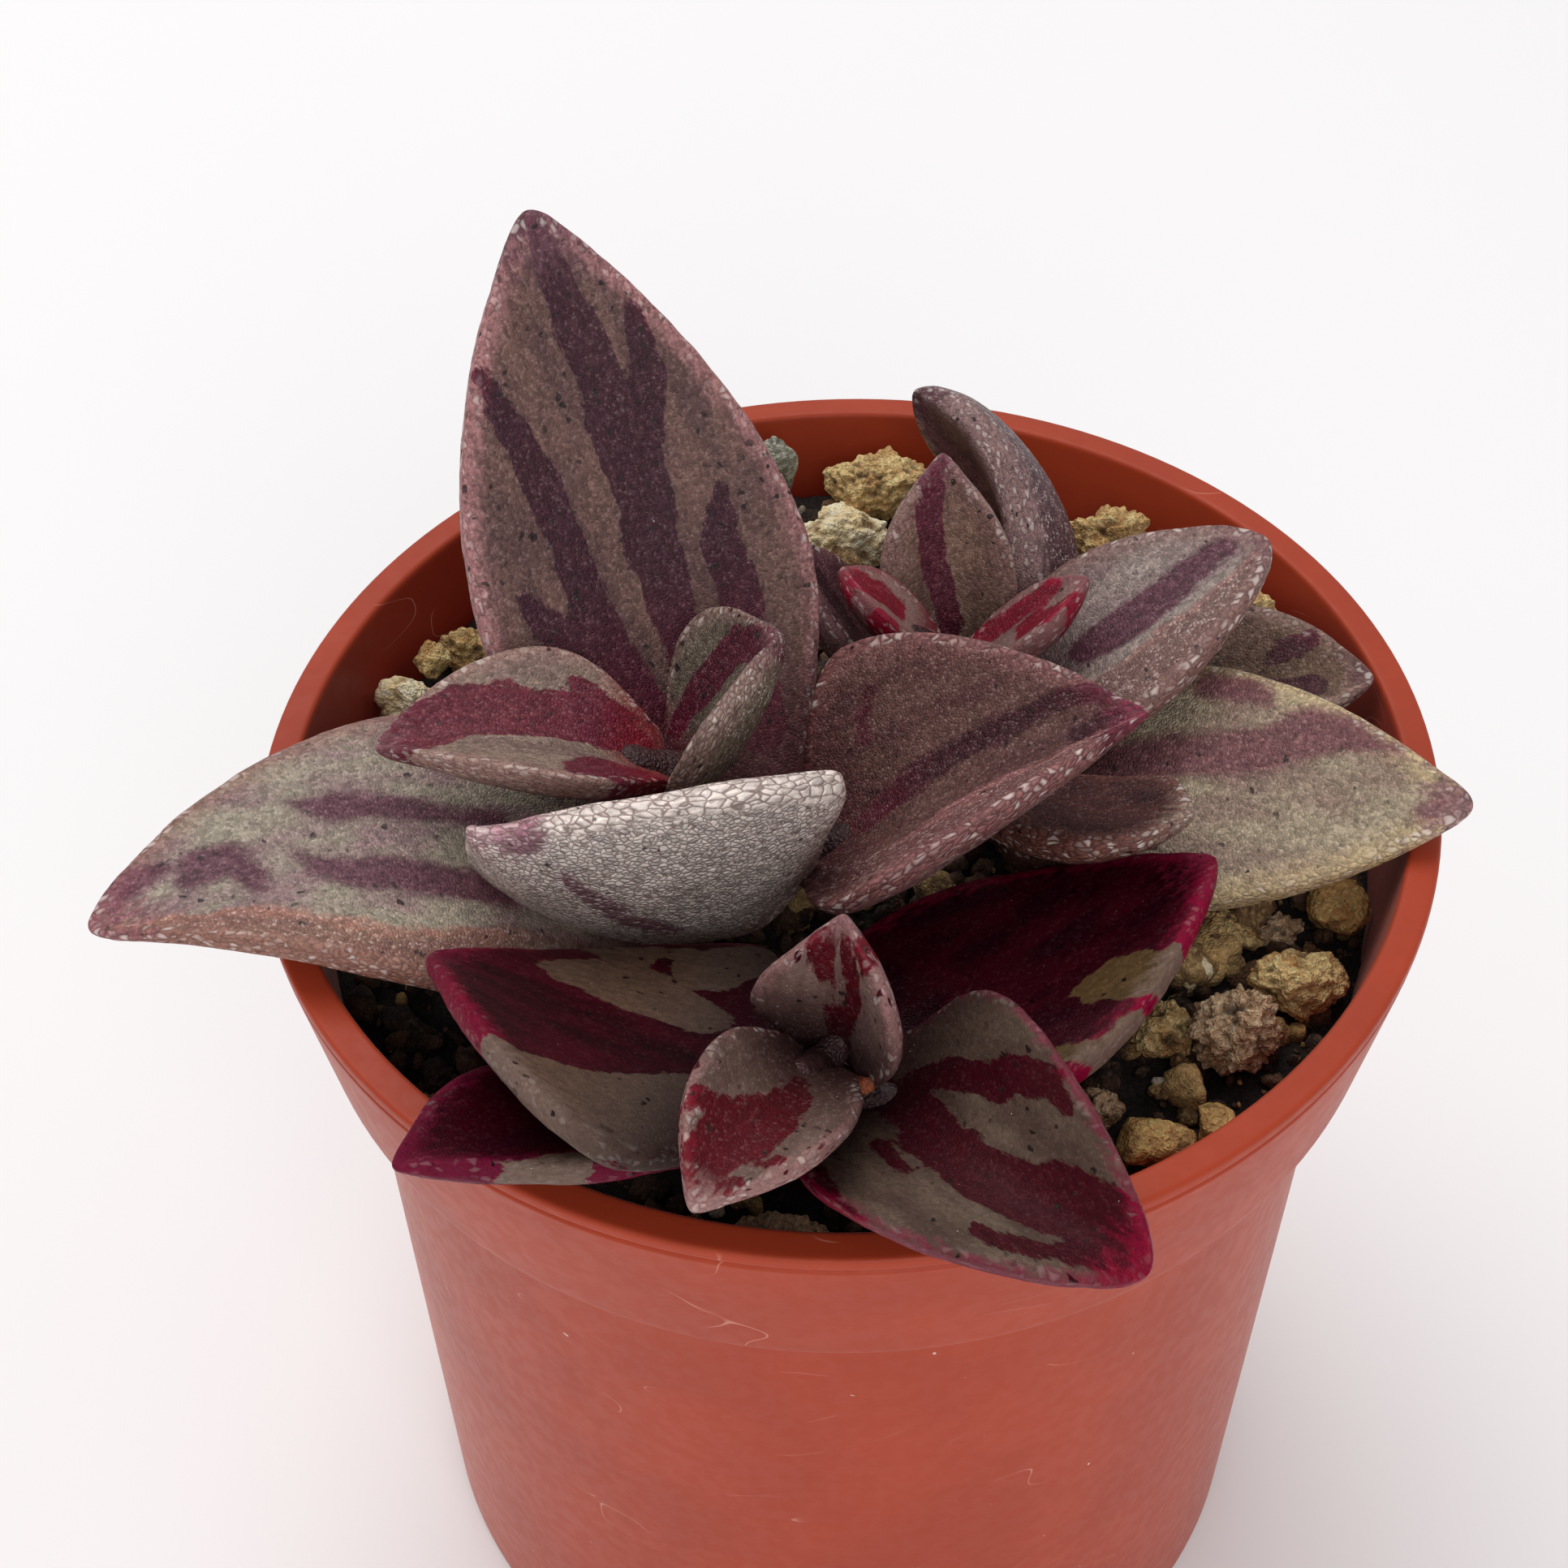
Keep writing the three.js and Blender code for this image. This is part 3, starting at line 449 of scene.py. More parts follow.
# %% Marks on the rear rosette
MARKS.update({
    "leaf_rear_striped": [
        [(0.26, -0.08, 0.45), (0.4, 0.05, 0.5), (0.6, 0.17, 0.5), (0.77, 0.43, 0.5), (0.9, 0.45, 0.5),
         (0.98, 0.1, 0.25)],
    ],
    "leaf_rear_right": [[(0.3, 0.1, 0.65), (0.45, 0, 0.85), (0.6, 0.05, 0.75), (0.75, 0.18, 0.6), (0.87, 0.3, 0.4)]],
    "leaf_rear_young_left": [
        [(0.4, -0.1, 0.5), (0.6, -0.07, 0.6), (0.78, 0.3, 0.8), (0.93, 0.97, 0.2)],
        [(0.4, 0.98, 0.13), (0.54, 0.98, 0.09)],
    ],
    "leaf_rear_young_right": [
        [(0.26, 0.7, 0.4), (0.47, 0.58, 0.4), (0.79, 0.52, 0.27)],
        [(0.52, -0.22, 0.3), (0.73, -0.5, 0.5), (0.88, -0.9, 0.3)],
    ],
    "leaf_rear_purple": [[(0.2, 0.1, 0.4), (0.6, 0.2, 0.6), (0.9, 0.3, 0.3)]],
    "leaf_rear_small": [
        [(0.71, 0.3, 0.27), (0.78, 0.52, 0.44), (0.83, 0.77, 0.27)],
        [(0.3, -0.2, 0.4), (0.55, -0.25, 0.6), (0.85, -0.1, 0.4)],
    ],
    "leaf_rear_long": [
        [(0.2, 0.1, 0.9), (0.42, 0.24, 1.0), (0.55, 0.33, 1.05), (0.66, 0.6, 1.05), (0.75, 0.72, 0.7),
         (0.84, 0.8, 0.2)],
        [(0.4, 0.8, 0.47), (0.49, 0.8, 0.65), (0.55, 0.78, 0.37)],
        [(0.92, -0.32, 0.33), (0.96, -0.15, 0.66), (0.99, 0.18, 0.48)],
    ],
})
print("leaves with marks:", len(MARKS))

# %% [markdown]
# ## Building one leaf
#
# A leaf could be sculpted or subdivided from a cage. Here every point comes from the leaf rule: a midline that bends
# at an even rate, a closed section that is swept along it, and a rounded cap at each end. numpy works out all points
# of a leaf at once. A little noise along the normals then takes away the machine look, as a real leaf has soft dents
# and a margin that wavers.

# %% Leaf rule
def leaf_directions(leaf, along):
    heading = np.radians(leaf["heading"][0] + (leaf["heading"][1] - leaf["heading"][0]) * along)
    climb = np.radians(leaf["climb"][0] + (leaf["climb"][1] - leaf["climb"][0]) * along)
    forward = np.stack([np.cos(climb) * np.cos(heading), np.cos(climb) * np.sin(heading), np.sin(climb)], axis=-1)
    left = np.stack([-np.sin(heading), np.cos(heading), 0 * heading], axis=-1)
    return forward, left


def leaf_midline(leaf, along):
    stops = np.linspace(0, 1, 401)
    forward, _ = leaf_directions(leaf, (stops[1:] + stops[:-1]) / 2)
    path = np.vstack([np.zeros(3), np.cumsum(forward, axis=0) * leaf["length"] / 400])
    return leaf["foot"] + np.stack([np.interp(along, stops, path[:, axis]) for axis in range(3)], axis=-1)


def leaf_half_width(leaf, along):
    widest = leaf["widest"]
    rise = np.sin(np.pi / 2 * np.minimum(along / widest, 1))
    fall = np.cos(np.pi / 2 * (np.maximum(along - widest, 0) / (1 - widest)) ** leaf["taper"])
    below = leaf["foot_share"] + (1 - leaf["foot_share"]) * rise
    above = leaf["tip_share"] + (1 - leaf["tip_share"]) * fall
    return leaf["half"] * np.where(along < widest, below, above) * np.sqrt(1 - along ** 10)


def leaf_section(leaf, along, turn):
    """Sideways and raised offsets in mm, the side from -1 to 1 and the lift from -1 below to 1 above."""
    side = np.sign(np.cos(turn)) * np.abs(np.cos(turn)) ** 0.8
    lift = np.sign(np.sin(turn)) * np.abs(np.sin(turn)) ** 0.55
    middle = 1 - np.abs(side) ** 1.5
    swell = np.where(lift < 0, 0.9 + 0.5 * middle, 1.02 - 0.5 * middle)
    half = leaf_half_width(leaf, along)
    thick = leaf["thick"] * (0.72 + 0.28 * np.sin(np.pi * along)) * (1 - 0.25 * along ** 2) * np.sqrt(1 - along ** 10)
    folded = leaf["fold"] * np.minimum(1, (1 - along) / 0.12 + 0.25) * half * np.abs(side) ** 1.7
    return half * side, thick / 2 * lift * swell + folded, side, lift


print("leaf rule ready")

# %% Leaf grid
LEAF_STEP = 0.3
CAP_TURNS = np.radians([75, 60, 45, 30, 15])


def leaf_grid(leaf):
    """Points of a leaf as rings by columns, with what each point knows about its place on the leaf."""
    rings = int(leaf["length"] / LEAF_STEP) + 12
    columns = 2 * int(min(max(1.9 * leaf["half"] / LEAF_STEP, 20), 48))
    along = 0.9997 * (1 - (1 - np.linspace(0, 1, rings)) ** 1.7)
    along = np.concatenate([0 * CAP_TURNS, along])[:, None]
    cap = np.concatenate([CAP_TURNS, np.zeros(rings)])[:, None]
    turn = (2 * np.pi * np.arange(columns) / columns)[None, :]
    forward, left = leaf_directions(leaf, along)
    roll = np.radians(leaf["roll"] + leaf["twist"] * along)[..., None]
    across = np.cos(roll) * left + np.sin(roll) * np.cross(forward, left)
    out = np.cross(forward, across)
    sideways, raised, side, lift = leaf_section(leaf, along, turn)
    set_back = 0.45 * leaf["thick"] * np.sin(cap)
    offset = across * sideways[..., None] + out * raised[..., None]
    points = leaf_midline(leaf, along) - forward * set_back[..., None] + offset * np.cos(cap)[..., None]
    whole = np.ones_like(sideways)
    return {
        "points": points, "along": along * whole, "side": side * whole, "lift": lift * whole,
        "sideways": sideways, "raised": raised, "down": along * leaf["length"] - set_back * whole,
    }


sample = leaf_grid(LEAVES["leaf_left_upright"])
print("rings and columns of the tall leaf:", sample["points"].shape[:2])

# %% Mark depth and distance from the margin
def mark_depth(leaf, marks, across_mm, down_mm):
    """How deep each point lies inside a mark in mm, and below zero outside all of them."""
    deepest = np.full(across_mm.shape, -5.0)
    for line in marks:
        stops = [(side * leaf_half_width(leaf, np.array(along)), along * leaf["length"], half)
                 for along, side, half in line]
        for (x0, y0, half0), (x1, y1, half1) in zip(stops, stops[1:]):
            run = np.array([x1 - x0, y1 - y0])
            share = ((across_mm - x0) * run[0] + (down_mm - y0) * run[1]) / max(run @ run, 1e-9)
            share = np.clip(share, 0, 1)
            away = np.hypot(across_mm - x0 - share * run[0], down_mm - y0 - share * run[1])
            deepest = np.maximum(deepest, half0 + (half1 - half0) * share - away)
    return deepest


def margin_distance(grid):
    """Distance in mm from each point round its section to the nearer margin."""
    step = np.hypot(np.diff(grid["sideways"], axis=1, append=grid["sideways"][:, :1]),
                    np.diff(grid["raised"], axis=1, append=grid["raised"][:, :1]))
    walked = np.cumsum(step, axis=1) - step
    length = step.sum(axis=1, keepdims=True)
    middle = walked[:, grid["points"].shape[1] // 2][:, None]
    to_left = np.minimum(walked, length - walked)
    return np.minimum(to_left, np.abs(walked - middle))


print("tall leaf's widest walk from a margin:", round(float(margin_distance(sample).max()), 2), "mm")

# %% Leaf object
DENTS = [(0.11, 0.3), (0.035, 1.0), (0.018, 2.6)]


def store(mesh, name, kind, values):
    attribute = mesh.attributes.new(name, kind, "POINT")
    attribute.data.foreach_set("vector" if kind == "FLOAT_VECTOR" else "value", np.asarray(values, np.float32).ravel())


def ring_faces(rings, columns):
    """Quads between neighbouring rings, and fans to the two points that close the ends."""
    quads = [(i * columns + j, i * columns + (j + 1) % columns, (i + 1) * columns + (j + 1) % columns,
              (i + 1) * columns + j) for i in range(rings - 1) for j in range(columns)]
    first, last = rings * columns, (rings - 1) * columns
    quads += [(first, (j + 1) % columns, j) for j in range(columns)]
    quads += [(first + 1, last + j, last + (j + 1) % columns) for j in range(columns)]
    return quads


def dent(made, dents, seed):
    """Moves every point along its normal by layers of noise: an amplitude in mm and waves per mm."""
    mesh = made.data
    shift = Vector((seed * 7.3, seed * 3.1, seed * 5.7))
    normals = [vertex.normal.copy() for vertex in mesh.vertices]
    for vertex, normal in zip(mesh.vertices, normals):
        spot = vertex.co / MM
        push = sum(amount * noise.noise(spot * waves + shift) for amount, waves in dents)
        vertex.co += normal * push * MM
    mesh.update()


def grow_leaf(name, leaf, number):
    grid = leaf_grid(leaf)
    rings, columns = grid["points"].shape[:2]
    ends = [grid["points"][0].mean(axis=0), leaf_midline(leaf, np.array(1.0))]
    vertices = np.vstack([grid["points"].reshape(-1, 3), ends])
    made = mesh_object(name + "_skin", vertices, ring_faces(rings, columns))
    dent(made, DENTS, number)

    def ended(values, first, last):
        return np.concatenate([values.ravel(), [first, last]])

    depth = mark_depth(leaf, MARKS.get(name, []), grid["sideways"], grid["down"])
    store(made.data, "mark_mm", "FLOAT", ended(depth, -5, depth[-1].mean()))
    store(made.data, "margin_mm", "FLOAT", ended(margin_distance(grid), 1, 0))
    store(made.data, "face", "FLOAT", ended(grid["lift"], 0, 0))
    store(made.data, "along", "FLOAT", ended(grid["along"], 0, 1))
    widths = np.maximum(np.abs(grid["sideways"]).max(axis=1, keepdims=True), 0.01)
    store(made.data, "across", "FLOAT", ended(grid["sideways"] / widths, 0, 0))
    skin_place = np.stack([ended(grid["sideways"], 0, 0) + 40 * number, ended(grid["down"], 0, leaf["length"]),
                           ended(grid["raised"] * 1.6, 0, 0)], axis=-1)
    store(made.data, "skin_mm", "FLOAT_VECTOR", skin_place)
    return made


leaf_pieces = {name: grow_leaf(name, leaf, number) for number, (name, leaf) in enumerate(LEAVES.items())}
print("triangles in the leaves:", sum(2 * len(piece.data.polygons) for piece in leaf_pieces.values()))

# %% [markdown]
# ## Leaf skin
#
# The skin of a real leaf is a layer of rounded, waxy cells over coloured tissue. Seen close, the cells are large and
# bead-like along the margin and fine elsewhere, with dark joints between them, and the domes of some cells are pale:
# wax bloom, laid lightest on each dome's top as a painted glint. Under them lie the ground colour with soft clouds,
# the marks with ragged borders, small dark speckles, pale dust and a darker foot; on the front rosette's leaves the
# foot is near black and reaches far up, as painted shade at the rosette's heart. Some old leaves have a blunt ridge
# beside the channel, and a band of the margin's colour begins there, with a painted highlight along its crest.
#
# An image texture can't follow every leaf, so the material reads the values stored on the mesh: the place on the
# skin, the depth inside a mark, the distance from the margin, and which face it is. One function lays the layers in
# the same order for every leaf, and a table gives each leaf its own colours, as neighbouring leaves differ a lot.

# %% Leaf skin material
def attribute(tree, name, output="Fac"):
    return place(tree, "ShaderNodeAttribute", attribute_name=name).outputs[output]


def new_material(name, roughness=0.5):
    material = bpy.data.materials.new(name)
    material.use_nodes = True
    shader = material.node_tree.nodes["Principled BSDF"]
    shader.inputs["Roughness"].default_value = roughness
    return material, material.node_tree, shader


def surface(material, colour, roughness, height, strength, depth):
    """Links the colour, the roughness and a bump of so many metres to the material's own shader."""
    tree, shader = material.node_tree, material.node_tree.nodes["Principled BSDF"]
    bump = place(tree, "ShaderNodeBump", {"Strength": strength, "Distance": depth, "Height": height})
    fill(tree, shader.inputs, {"Base Color": colour, "Roughness": roughness, "Normal": bump.outputs["Normal"]})
    return material


def shade(colour, share):
    """A screen colour made darker or lighter."""
    return rgb(*[min(level * share, 255) for level in colour])


def leaf_skin(name, ground, cloud, mark, margin, under, foot, tip, crackle=0.5, roughness=0.5, speckled=0.5,
              soft=0.07, cell=0.17, bead=0.32, flush=(96, 14, 44), band=1.4, grain=1.0, dashes=0.0, foot_flush=0.85,
              foot_reach=0.26, ridge=0.0, specular=0.28):
    material, tree, shader = new_material(name)
    vector = attribute(tree, "skin_mm", "Vector")
    streaky = vector_calc(tree, "MULTIPLY", vector, (1.0, 0.35, 1.0))
    clouds = effect(tree, mottle, Vector=streaky, Coarse_size=1.5, Fine_size=0.3)
    fine = effect(tree, skin_cells, Vector=vector, Cell_size=cell)
    colour = mix(tree, clouds["Coarse"], rgb(*ground), rgb(*cloud))
    colour = lay(tree, colour, clouds["Fine"], 0.3, shade(ground, 0.78))

    face = attribute(tree, "face")
    below = fade(tree, calc(tree, "MULTIPLY_ADD", clouds["Coarse"], 0.3, face), 0.2, -0.3, 0.0, 1.0)
    under_colour = mix(tree, clouds["Fine"], rgb(*under), shade(under, 0.8))
    colour = mix(tree, below, colour, under_colour)

    margin_mm = attribute(tree, "margin_mm")
    if ridge:
        across = times(tree, attribute(tree, "across"), math.copysign(1, ridge))
        wavy = calc(tree, "MULTIPLY_ADD", clouds["Coarse"], 0.14, across)
        outer = fade(tree, wavy, abs(ridge), abs(ridge) + 0.14)
        colour = lay(tree, colour, outer, 0.7, rgb(*margin))
    near_margin = fade(tree, calc(tree, "MULTIPLY_ADD", clouds["Fine"], 0.5, margin_mm), 0.5, band, 1.0, 0.0)
    colour = lay(tree, colour, near_margin, 0.8, rgb(*margin))

    along = attribute(tree, "along")
    depth = calc(tree, "ADD", attribute(tree, "mark_mm"), 0.16)
    inside = effect(tree, ragged_edge, Distance=depth, Vector=vector, Wander=0.42, Softness=soft)["Mask"]
    mark_colour = lay(tree, rgb(*mark), clouds["Fine"], 0.5, shade(mark, 0.72))
    at_foot = fade(tree, along, 0.12, 0.45, foot_flush, 0.0)
    flushed = calc(tree, "MAXIMUM", times(tree, near_margin, 0.8), at_foot)
    mark_colour = mix(tree, flushed, mark_colour, rgb(*flush))
    colour = lay(tree, colour, inside, 0.95, mark_colour)
    # Darker foot, which on the front rosette's leaves is near black and reaches far up: painted shade at the rosette's
    # heart.
    colour = mix(tree, fade(tree, along, 0.02, foot_reach, 0.85, 0.0), colour, rgb(*foot))
    tipped = fade(tree, calc(tree, "MULTIPLY_ADD", clouds["Fine"], 0.08, along), 0.9, 1.05)
    colour = mix(tree, tipped, colour, rgb(*tip))

    if ridge:
        # A pale line along the ridge's crest: a painted highlight where the ridge catches the light.
        off_crest = calc(tree, "ABSOLUTE", calc(tree, "SUBTRACT", wavy, abs(ridge) + 0.1))
        painted_crest_highlight = fade(tree, calc(tree, "MULTIPLY_ADD", clouds["Fine"], 0.06, off_crest), 0.02, 0.14, 0.6, 0.0)
        colour = lay(tree, colour, painted_crest_highlight, fade(tree, along, 0.15, 0.5), shade(margin, 1.3))
    value = calc(tree, "MULTIPLY_ADD", fine["Tone"], 0.65 * grain, 1 - 0.3 * grain)
    colour = place(tree, "ShaderNodeHueSaturation", {"Color": colour, "Value": value}).outputs[0]

    dots = effect(tree, speckles, Vector=vector, Spacing=0.55, Size=0.5, Share=0.34 * speckled)["Mask"]
    dotted = times(tree, dots, fade(tree, clouds["Coarse"], 0.2, 0.8, 0.45, 0.95))
    colour = mix(tree, dotted, colour, shade(cloud, 0.36))

    if dashes:
        stretched = vector_calc(tree, "MULTIPLY", vector, (1.0, 0.45, 1.0))
        dash = effect(tree, speckles, Vector=stretched, Spacing=0.42, Size=0.55, Share=0.45 * dashes)["Mask"]
        dash_zone = fade(tree, calc(tree, "MULTIPLY_ADD", clouds["Coarse"], 1.2, margin_mm), 0.9, 2.0, 1.0, 0.0)
        colour = lay(tree, colour, dash, dash_zone, shade(mark, 0.8))

    beads = effect(tree, skin_cells, Vector=vector_calc(tree, "MULTIPLY", vector, (1, 0.72, 1)), Cell_size=bead)
    bead_zone = fade(tree, margin_mm, 0.7, 1.3, 1.0, 0.0)
    bead_zone = times(tree, bead_zone, fade(tree, face, -0.95, -0.6))

    def beaded(output):
        return place(tree, "ShaderNodeMix", {0: bead_zone, 2: fine[output], 3: beads[output]}).outputs[0]

    height = beaded("Height")
    zone = calc(tree, "MAXIMUM", bead_zone, calc(tree, "MULTIPLY_ADD", below, 0.85, 0.15), clamp=True)
    if ridge:
        zone = calc(tree, "MAXIMUM", zone, times(tree, outer, 0.75))
    jointed = times(tree, times(tree, beaded("Joint"), zone), 0.8 * crackle)
    colour = mix(tree, jointed, colour, shade(foot, 0.75))
    # Pale wax bloom on some cells, laid lightest on each dome's top as a painted glint.
    bead_bloom_and_painted_glint = times(tree, zone, min(0.3 + 0.45 * crackle, 1.6 * crackle))
    bead_bloom_and_painted_glint = times(tree, fade(tree, beaded("Tone"), 0.5, 0.95), bead_bloom_and_painted_glint)
    colour = lay(tree, colour, bead_bloom_and_painted_glint, height, rgb(232, 220, 212))
    dust = effect(tree, speckles, Vector=vector, Spacing=0.4, Size=0.14, Share=0.07)["Mask"]
    colour = lay(tree, colour, dust, 0.8, rgb(228, 218, 210))

    shader.inputs["Specular IOR Level"].default_value = specular
    rough = calc(tree, "MULTIPLY_ADD", clouds["Fine"], 0.12, roughness - 0.06)
    rough = calc(tree, "MULTIPLY_ADD", dust, 0.2, rough)
    relief = height if crackle > 0.45 else fine["Height"]
    return surface(material, colour, rough, relief, 0.8, (0.01 + 0.07 * crackle) * MM)


print("leaf skin ready")

# %% Colours of the grey, purple-striped leaves
def skin(ground, cloud, mark, margin, under, foot, tip, **changes):
    """The seven colours of one leaf, and what else sets it apart from its kind."""
    return dict(ground=ground, cloud=cloud, mark=mark, margin=margin, under=under, foot=foot, tip=tip, **changes)


GREY = dict(crackle=0.4, band=2.1)
GREY_SKINS = {
    "leaf_left_upright": skin((113, 82, 74), (91, 64, 62), (60, 20, 36), (176, 122, 122), (140, 112, 100),
        (92, 44, 50), (104, 66, 76), crackle=0.35, speckled=1.2),
    "leaf_left_long": skin((162, 151, 133), (146, 117, 118), (104, 62, 76), (140, 96, 82), (158, 118, 100),
        (104, 66, 60), (138, 84, 92), crackle=0.5, speckled=0.8, soft=0.4, flush=(110, 50, 66), band=2.6, ridge=0.62),
    "leaf_left_young_flat": skin((149, 128, 113), (122, 100, 92), (103, 22, 44), (156, 122, 112), (146, 124, 110),
        (127, 9, 31), (124, 78, 84), roughness=0.42),
    "leaf_left_young_upright": skin((112, 100, 86), (88, 76, 66), (86, 19, 43), (150, 124, 114), (132, 120, 100),
        (100, 18, 40), (112, 78, 80), crackle=0.7, roughness=0.45, speckled=1.2),
    "leaf_left_front": skin((150, 132, 126), (124, 104, 104), (140, 92, 108), (252, 236, 226), (252, 236, 226),
        (150, 116, 108), (196, 152, 160), crackle=1.0, soft=0.3, cell=0.27, bead=0.5, flush=(150, 90, 110), band=1.4),
    "leaf_left_channelled": skin((109, 75, 68), (91, 55, 55), (64, 20, 31), (140, 92, 90), (132, 96, 88), (90, 44, 46),
        (124, 44, 66), crackle=0.8, speckled=0.7, soft=0.25, bead=0.4, flush=(100, 30, 50), band=2.6, ridge=-0.38),
    "leaf_rear_striped": skin((145, 113, 98), (115, 84, 76), (98, 34, 54), (150, 116, 108), (134, 104, 96),
        (92, 30, 42), (116, 66, 76), roughness=0.46, speckled=0.6),
    "leaf_rear_right": skin((153, 136, 129), (127, 104, 102), (95, 51, 66), (128, 92, 84), (128, 98, 88), (92, 40, 50),
        (120, 82, 84), crackle=0.55, roughness=0.48, speckled=0.7, soft=0.2, bead=0.38, flush=(90, 40, 56), band=2.6,
        ridge=-0.3),
    "leaf_rear_hooked": skin((104, 60, 66), (72, 38, 46), (46, 18, 30), (150, 120, 116), (96, 58, 64), (70, 28, 40),
        (84, 44, 54), roughness=0.4),
    "leaf_rear_purple": skin((92, 54, 62), (72, 38, 46), (54, 20, 32), (122, 84, 86), (86, 48, 54), (74, 26, 36),
        (96, 60, 66), roughness=0.45),
    "leaf_rear_long": skin((166, 150, 126), (146, 122, 108), (128, 82, 86), (196, 172, 128), (160, 134, 102),
        (96, 56, 56), (140, 104, 104), crackle=0.6, speckled=0.8, soft=0.45, flush=(120, 70, 76), band=2.6),
    "leaf_rear_small": skin((117, 91, 75), (96, 69, 60), (84, 44, 52), (136, 108, 96), (122, 94, 82), (84, 40, 44),
        (108, 76, 74), crackle=0.5, speckled=0.6, ridge=-0.45),
    "leaf_low_upper": skin((84, 42, 38), (60, 24, 26), (52, 18, 22), (116, 72, 62), (86, 46, 40), (54, 18, 20),
        (150, 126, 112), crackle=0.6, speckled=1.0),
    "leaf_low_lower": skin((84, 44, 40), (60, 26, 28), (52, 18, 22), (120, 78, 68), (86, 46, 42), (54, 18, 20),
        (150, 126, 114), crackle=0.6, speckled=1.0),
}
print("grey skins:", len(GREY_SKINS))

# %% Colours of the maroon leaves and the young crimson ones
# The near-black foot colours of the maroon leaves and the two young front leaves, reaching far up, are painted shade at
# the rosette's heart.
MAROON = dict(crackle=0.05, roughness=0.4, flush=(112, 94, 84), band=1.9, grain=0.45, foot_reach=0.5, specular=0.06)
MAROON_SKINS = {
    "leaf_front_left": skin((62, 3, 19), (36, 1, 7), (98, 75, 61), (118, 7, 42), (70, 10, 30), (20, 2, 8),
        (100, 12, 42), speckled=0.6),
    "leaf_front_low": skin((53, 4, 16), (42, 4, 17), (98, 78, 61), (104, 16, 46), (56, 8, 24), (46, 4, 18),
        (104, 18, 46)),
    "leaf_front_dark": skin((55, 2, 15), (32, 1, 10), (87, 66, 40), (140, 9, 52), (62, 8, 28), (10, 0, 3),
        (118, 20, 50), roughness=0.38),
    "leaf_front_right": skin((96, 79, 67), (75, 57, 50), (60, 2, 16), (112, 40, 58), (88, 40, 50), (26, 3, 9),
        (122, 12, 42), roughness=0.36, speckled=0.8, flush=(126, 6, 44), band=1.3, grain=0.5, dashes=0.3,
        foot_flush=0.0, foot_reach=0.55),
}
YOUNG = dict(crackle=0.2, roughness=0.38, speckled=0.8, flush=(116, 2, 30), grain=0.35, foot_flush=0.0,
             foot_reach=0.72, specular=0.1)
YOUNG_SKINS = {
    "leaf_front_young_rear": skin((137, 109, 101), (115, 86, 80), (84, 2, 20), (150, 108, 106), (122, 88, 86),
        (34, 8, 14), (138, 96, 98), dashes=0.9),
    "leaf_front_young_near": skin((122, 98, 89), (102, 78, 71), (88, 3, 20), (154, 112, 108), (122, 88, 84),
        (36, 12, 14), (150, 112, 108), dashes=0.7),
    "leaf_rear_young_left": skin((144, 112, 104), (120, 86, 80), (120, 10, 34), (130, 70, 76), (112, 66, 68),
        (96, 10, 30), (130, 60, 68), roughness=0.4, speckled=0.5, flush=(150, 10, 48), grain=0.3, foot_flush=0.85,
        foot_reach=0.26, specular=0.2),
    "leaf_rear_young_right": skin((146, 116, 110), (122, 90, 86), (124, 10, 38), (134, 84, 86), (116, 74, 74),
        (96, 10, 30), (134, 80, 84), roughness=0.4, speckled=0.5, flush=(150, 10, 48), grain=0.3, foot_flush=0.85,
        foot_reach=0.26, specular=0.2),
}
SLOT_SKINS = {
    "aged_leaf": (GREY, GREY_SKINS), "maroon_leaf": (MAROON, MAROON_SKINS), "young_leaf": (YOUNG, YOUNG_SKINS),
}
for kind, skins in SLOT_SKINS.values():
    for name, own in skins.items():
        leaf_pieces[name].data.materials.append(leaf_skin(name + "_colours", **{**kind, **own}))
print("leaf materials:", sum(len(skins) for _, skins in SLOT_SKINS.values()))

# %% [markdown]
# ## Pot
#
# A nursery pot is moulded from thin plastic: a tapered body, a step out to a taller collar, and a narrow flat rim. Its
# shape follows one rule, a profile turned about an axis, so Geometry Nodes make it. The profile is a curve with small
# rounded corners. *Curve to Mesh* sweeps it round a circle, *Set Position* squeezes the rim to the slight oval that
# the photograph shows, and a Boolean cuts the drain holes.

# %% Profile of the pot wall
POT_HEIGHT, RIM_RADIUS, RIM_BAND, COLLAR_HEIGHT = 50, 27.5, 1.45, 8.75
COLLAR_FOOT, BODY_TOP, BASE, WALL, FLOOR = 26, 24.3, 22.4, 1.25, 1.6
STEP = POT_HEIGHT - COLLAR_HEIGHT
SQUEEZE, SQUEEZE_HEADING = 0.027, 1.28
CORNERS = [
    (BASE, 0, 0.5), (BODY_TOP, STEP, 0.15), (COLLAR_FOOT, STEP, 0.4), (RIM_RADIUS - 0.06, POT_HEIGHT - 0.95, 0.08),
    (RIM_RADIUS - 0.2, POT_HEIGHT - 0.75, 0.05), (RIM_RADIUS, POT_HEIGHT - 0.55, 0.08), (RIM_RADIUS, POT_HEIGHT, 0.25),
    (RIM_RADIUS - RIM_BAND, POT_HEIGHT, 0.25), (COLLAR_FOOT - WALL, STEP + WALL, 0.5),
    (BODY_TOP - WALL, STEP + 0.1, 0.5), (BASE - WALL, FLOOR, 0.8),
]


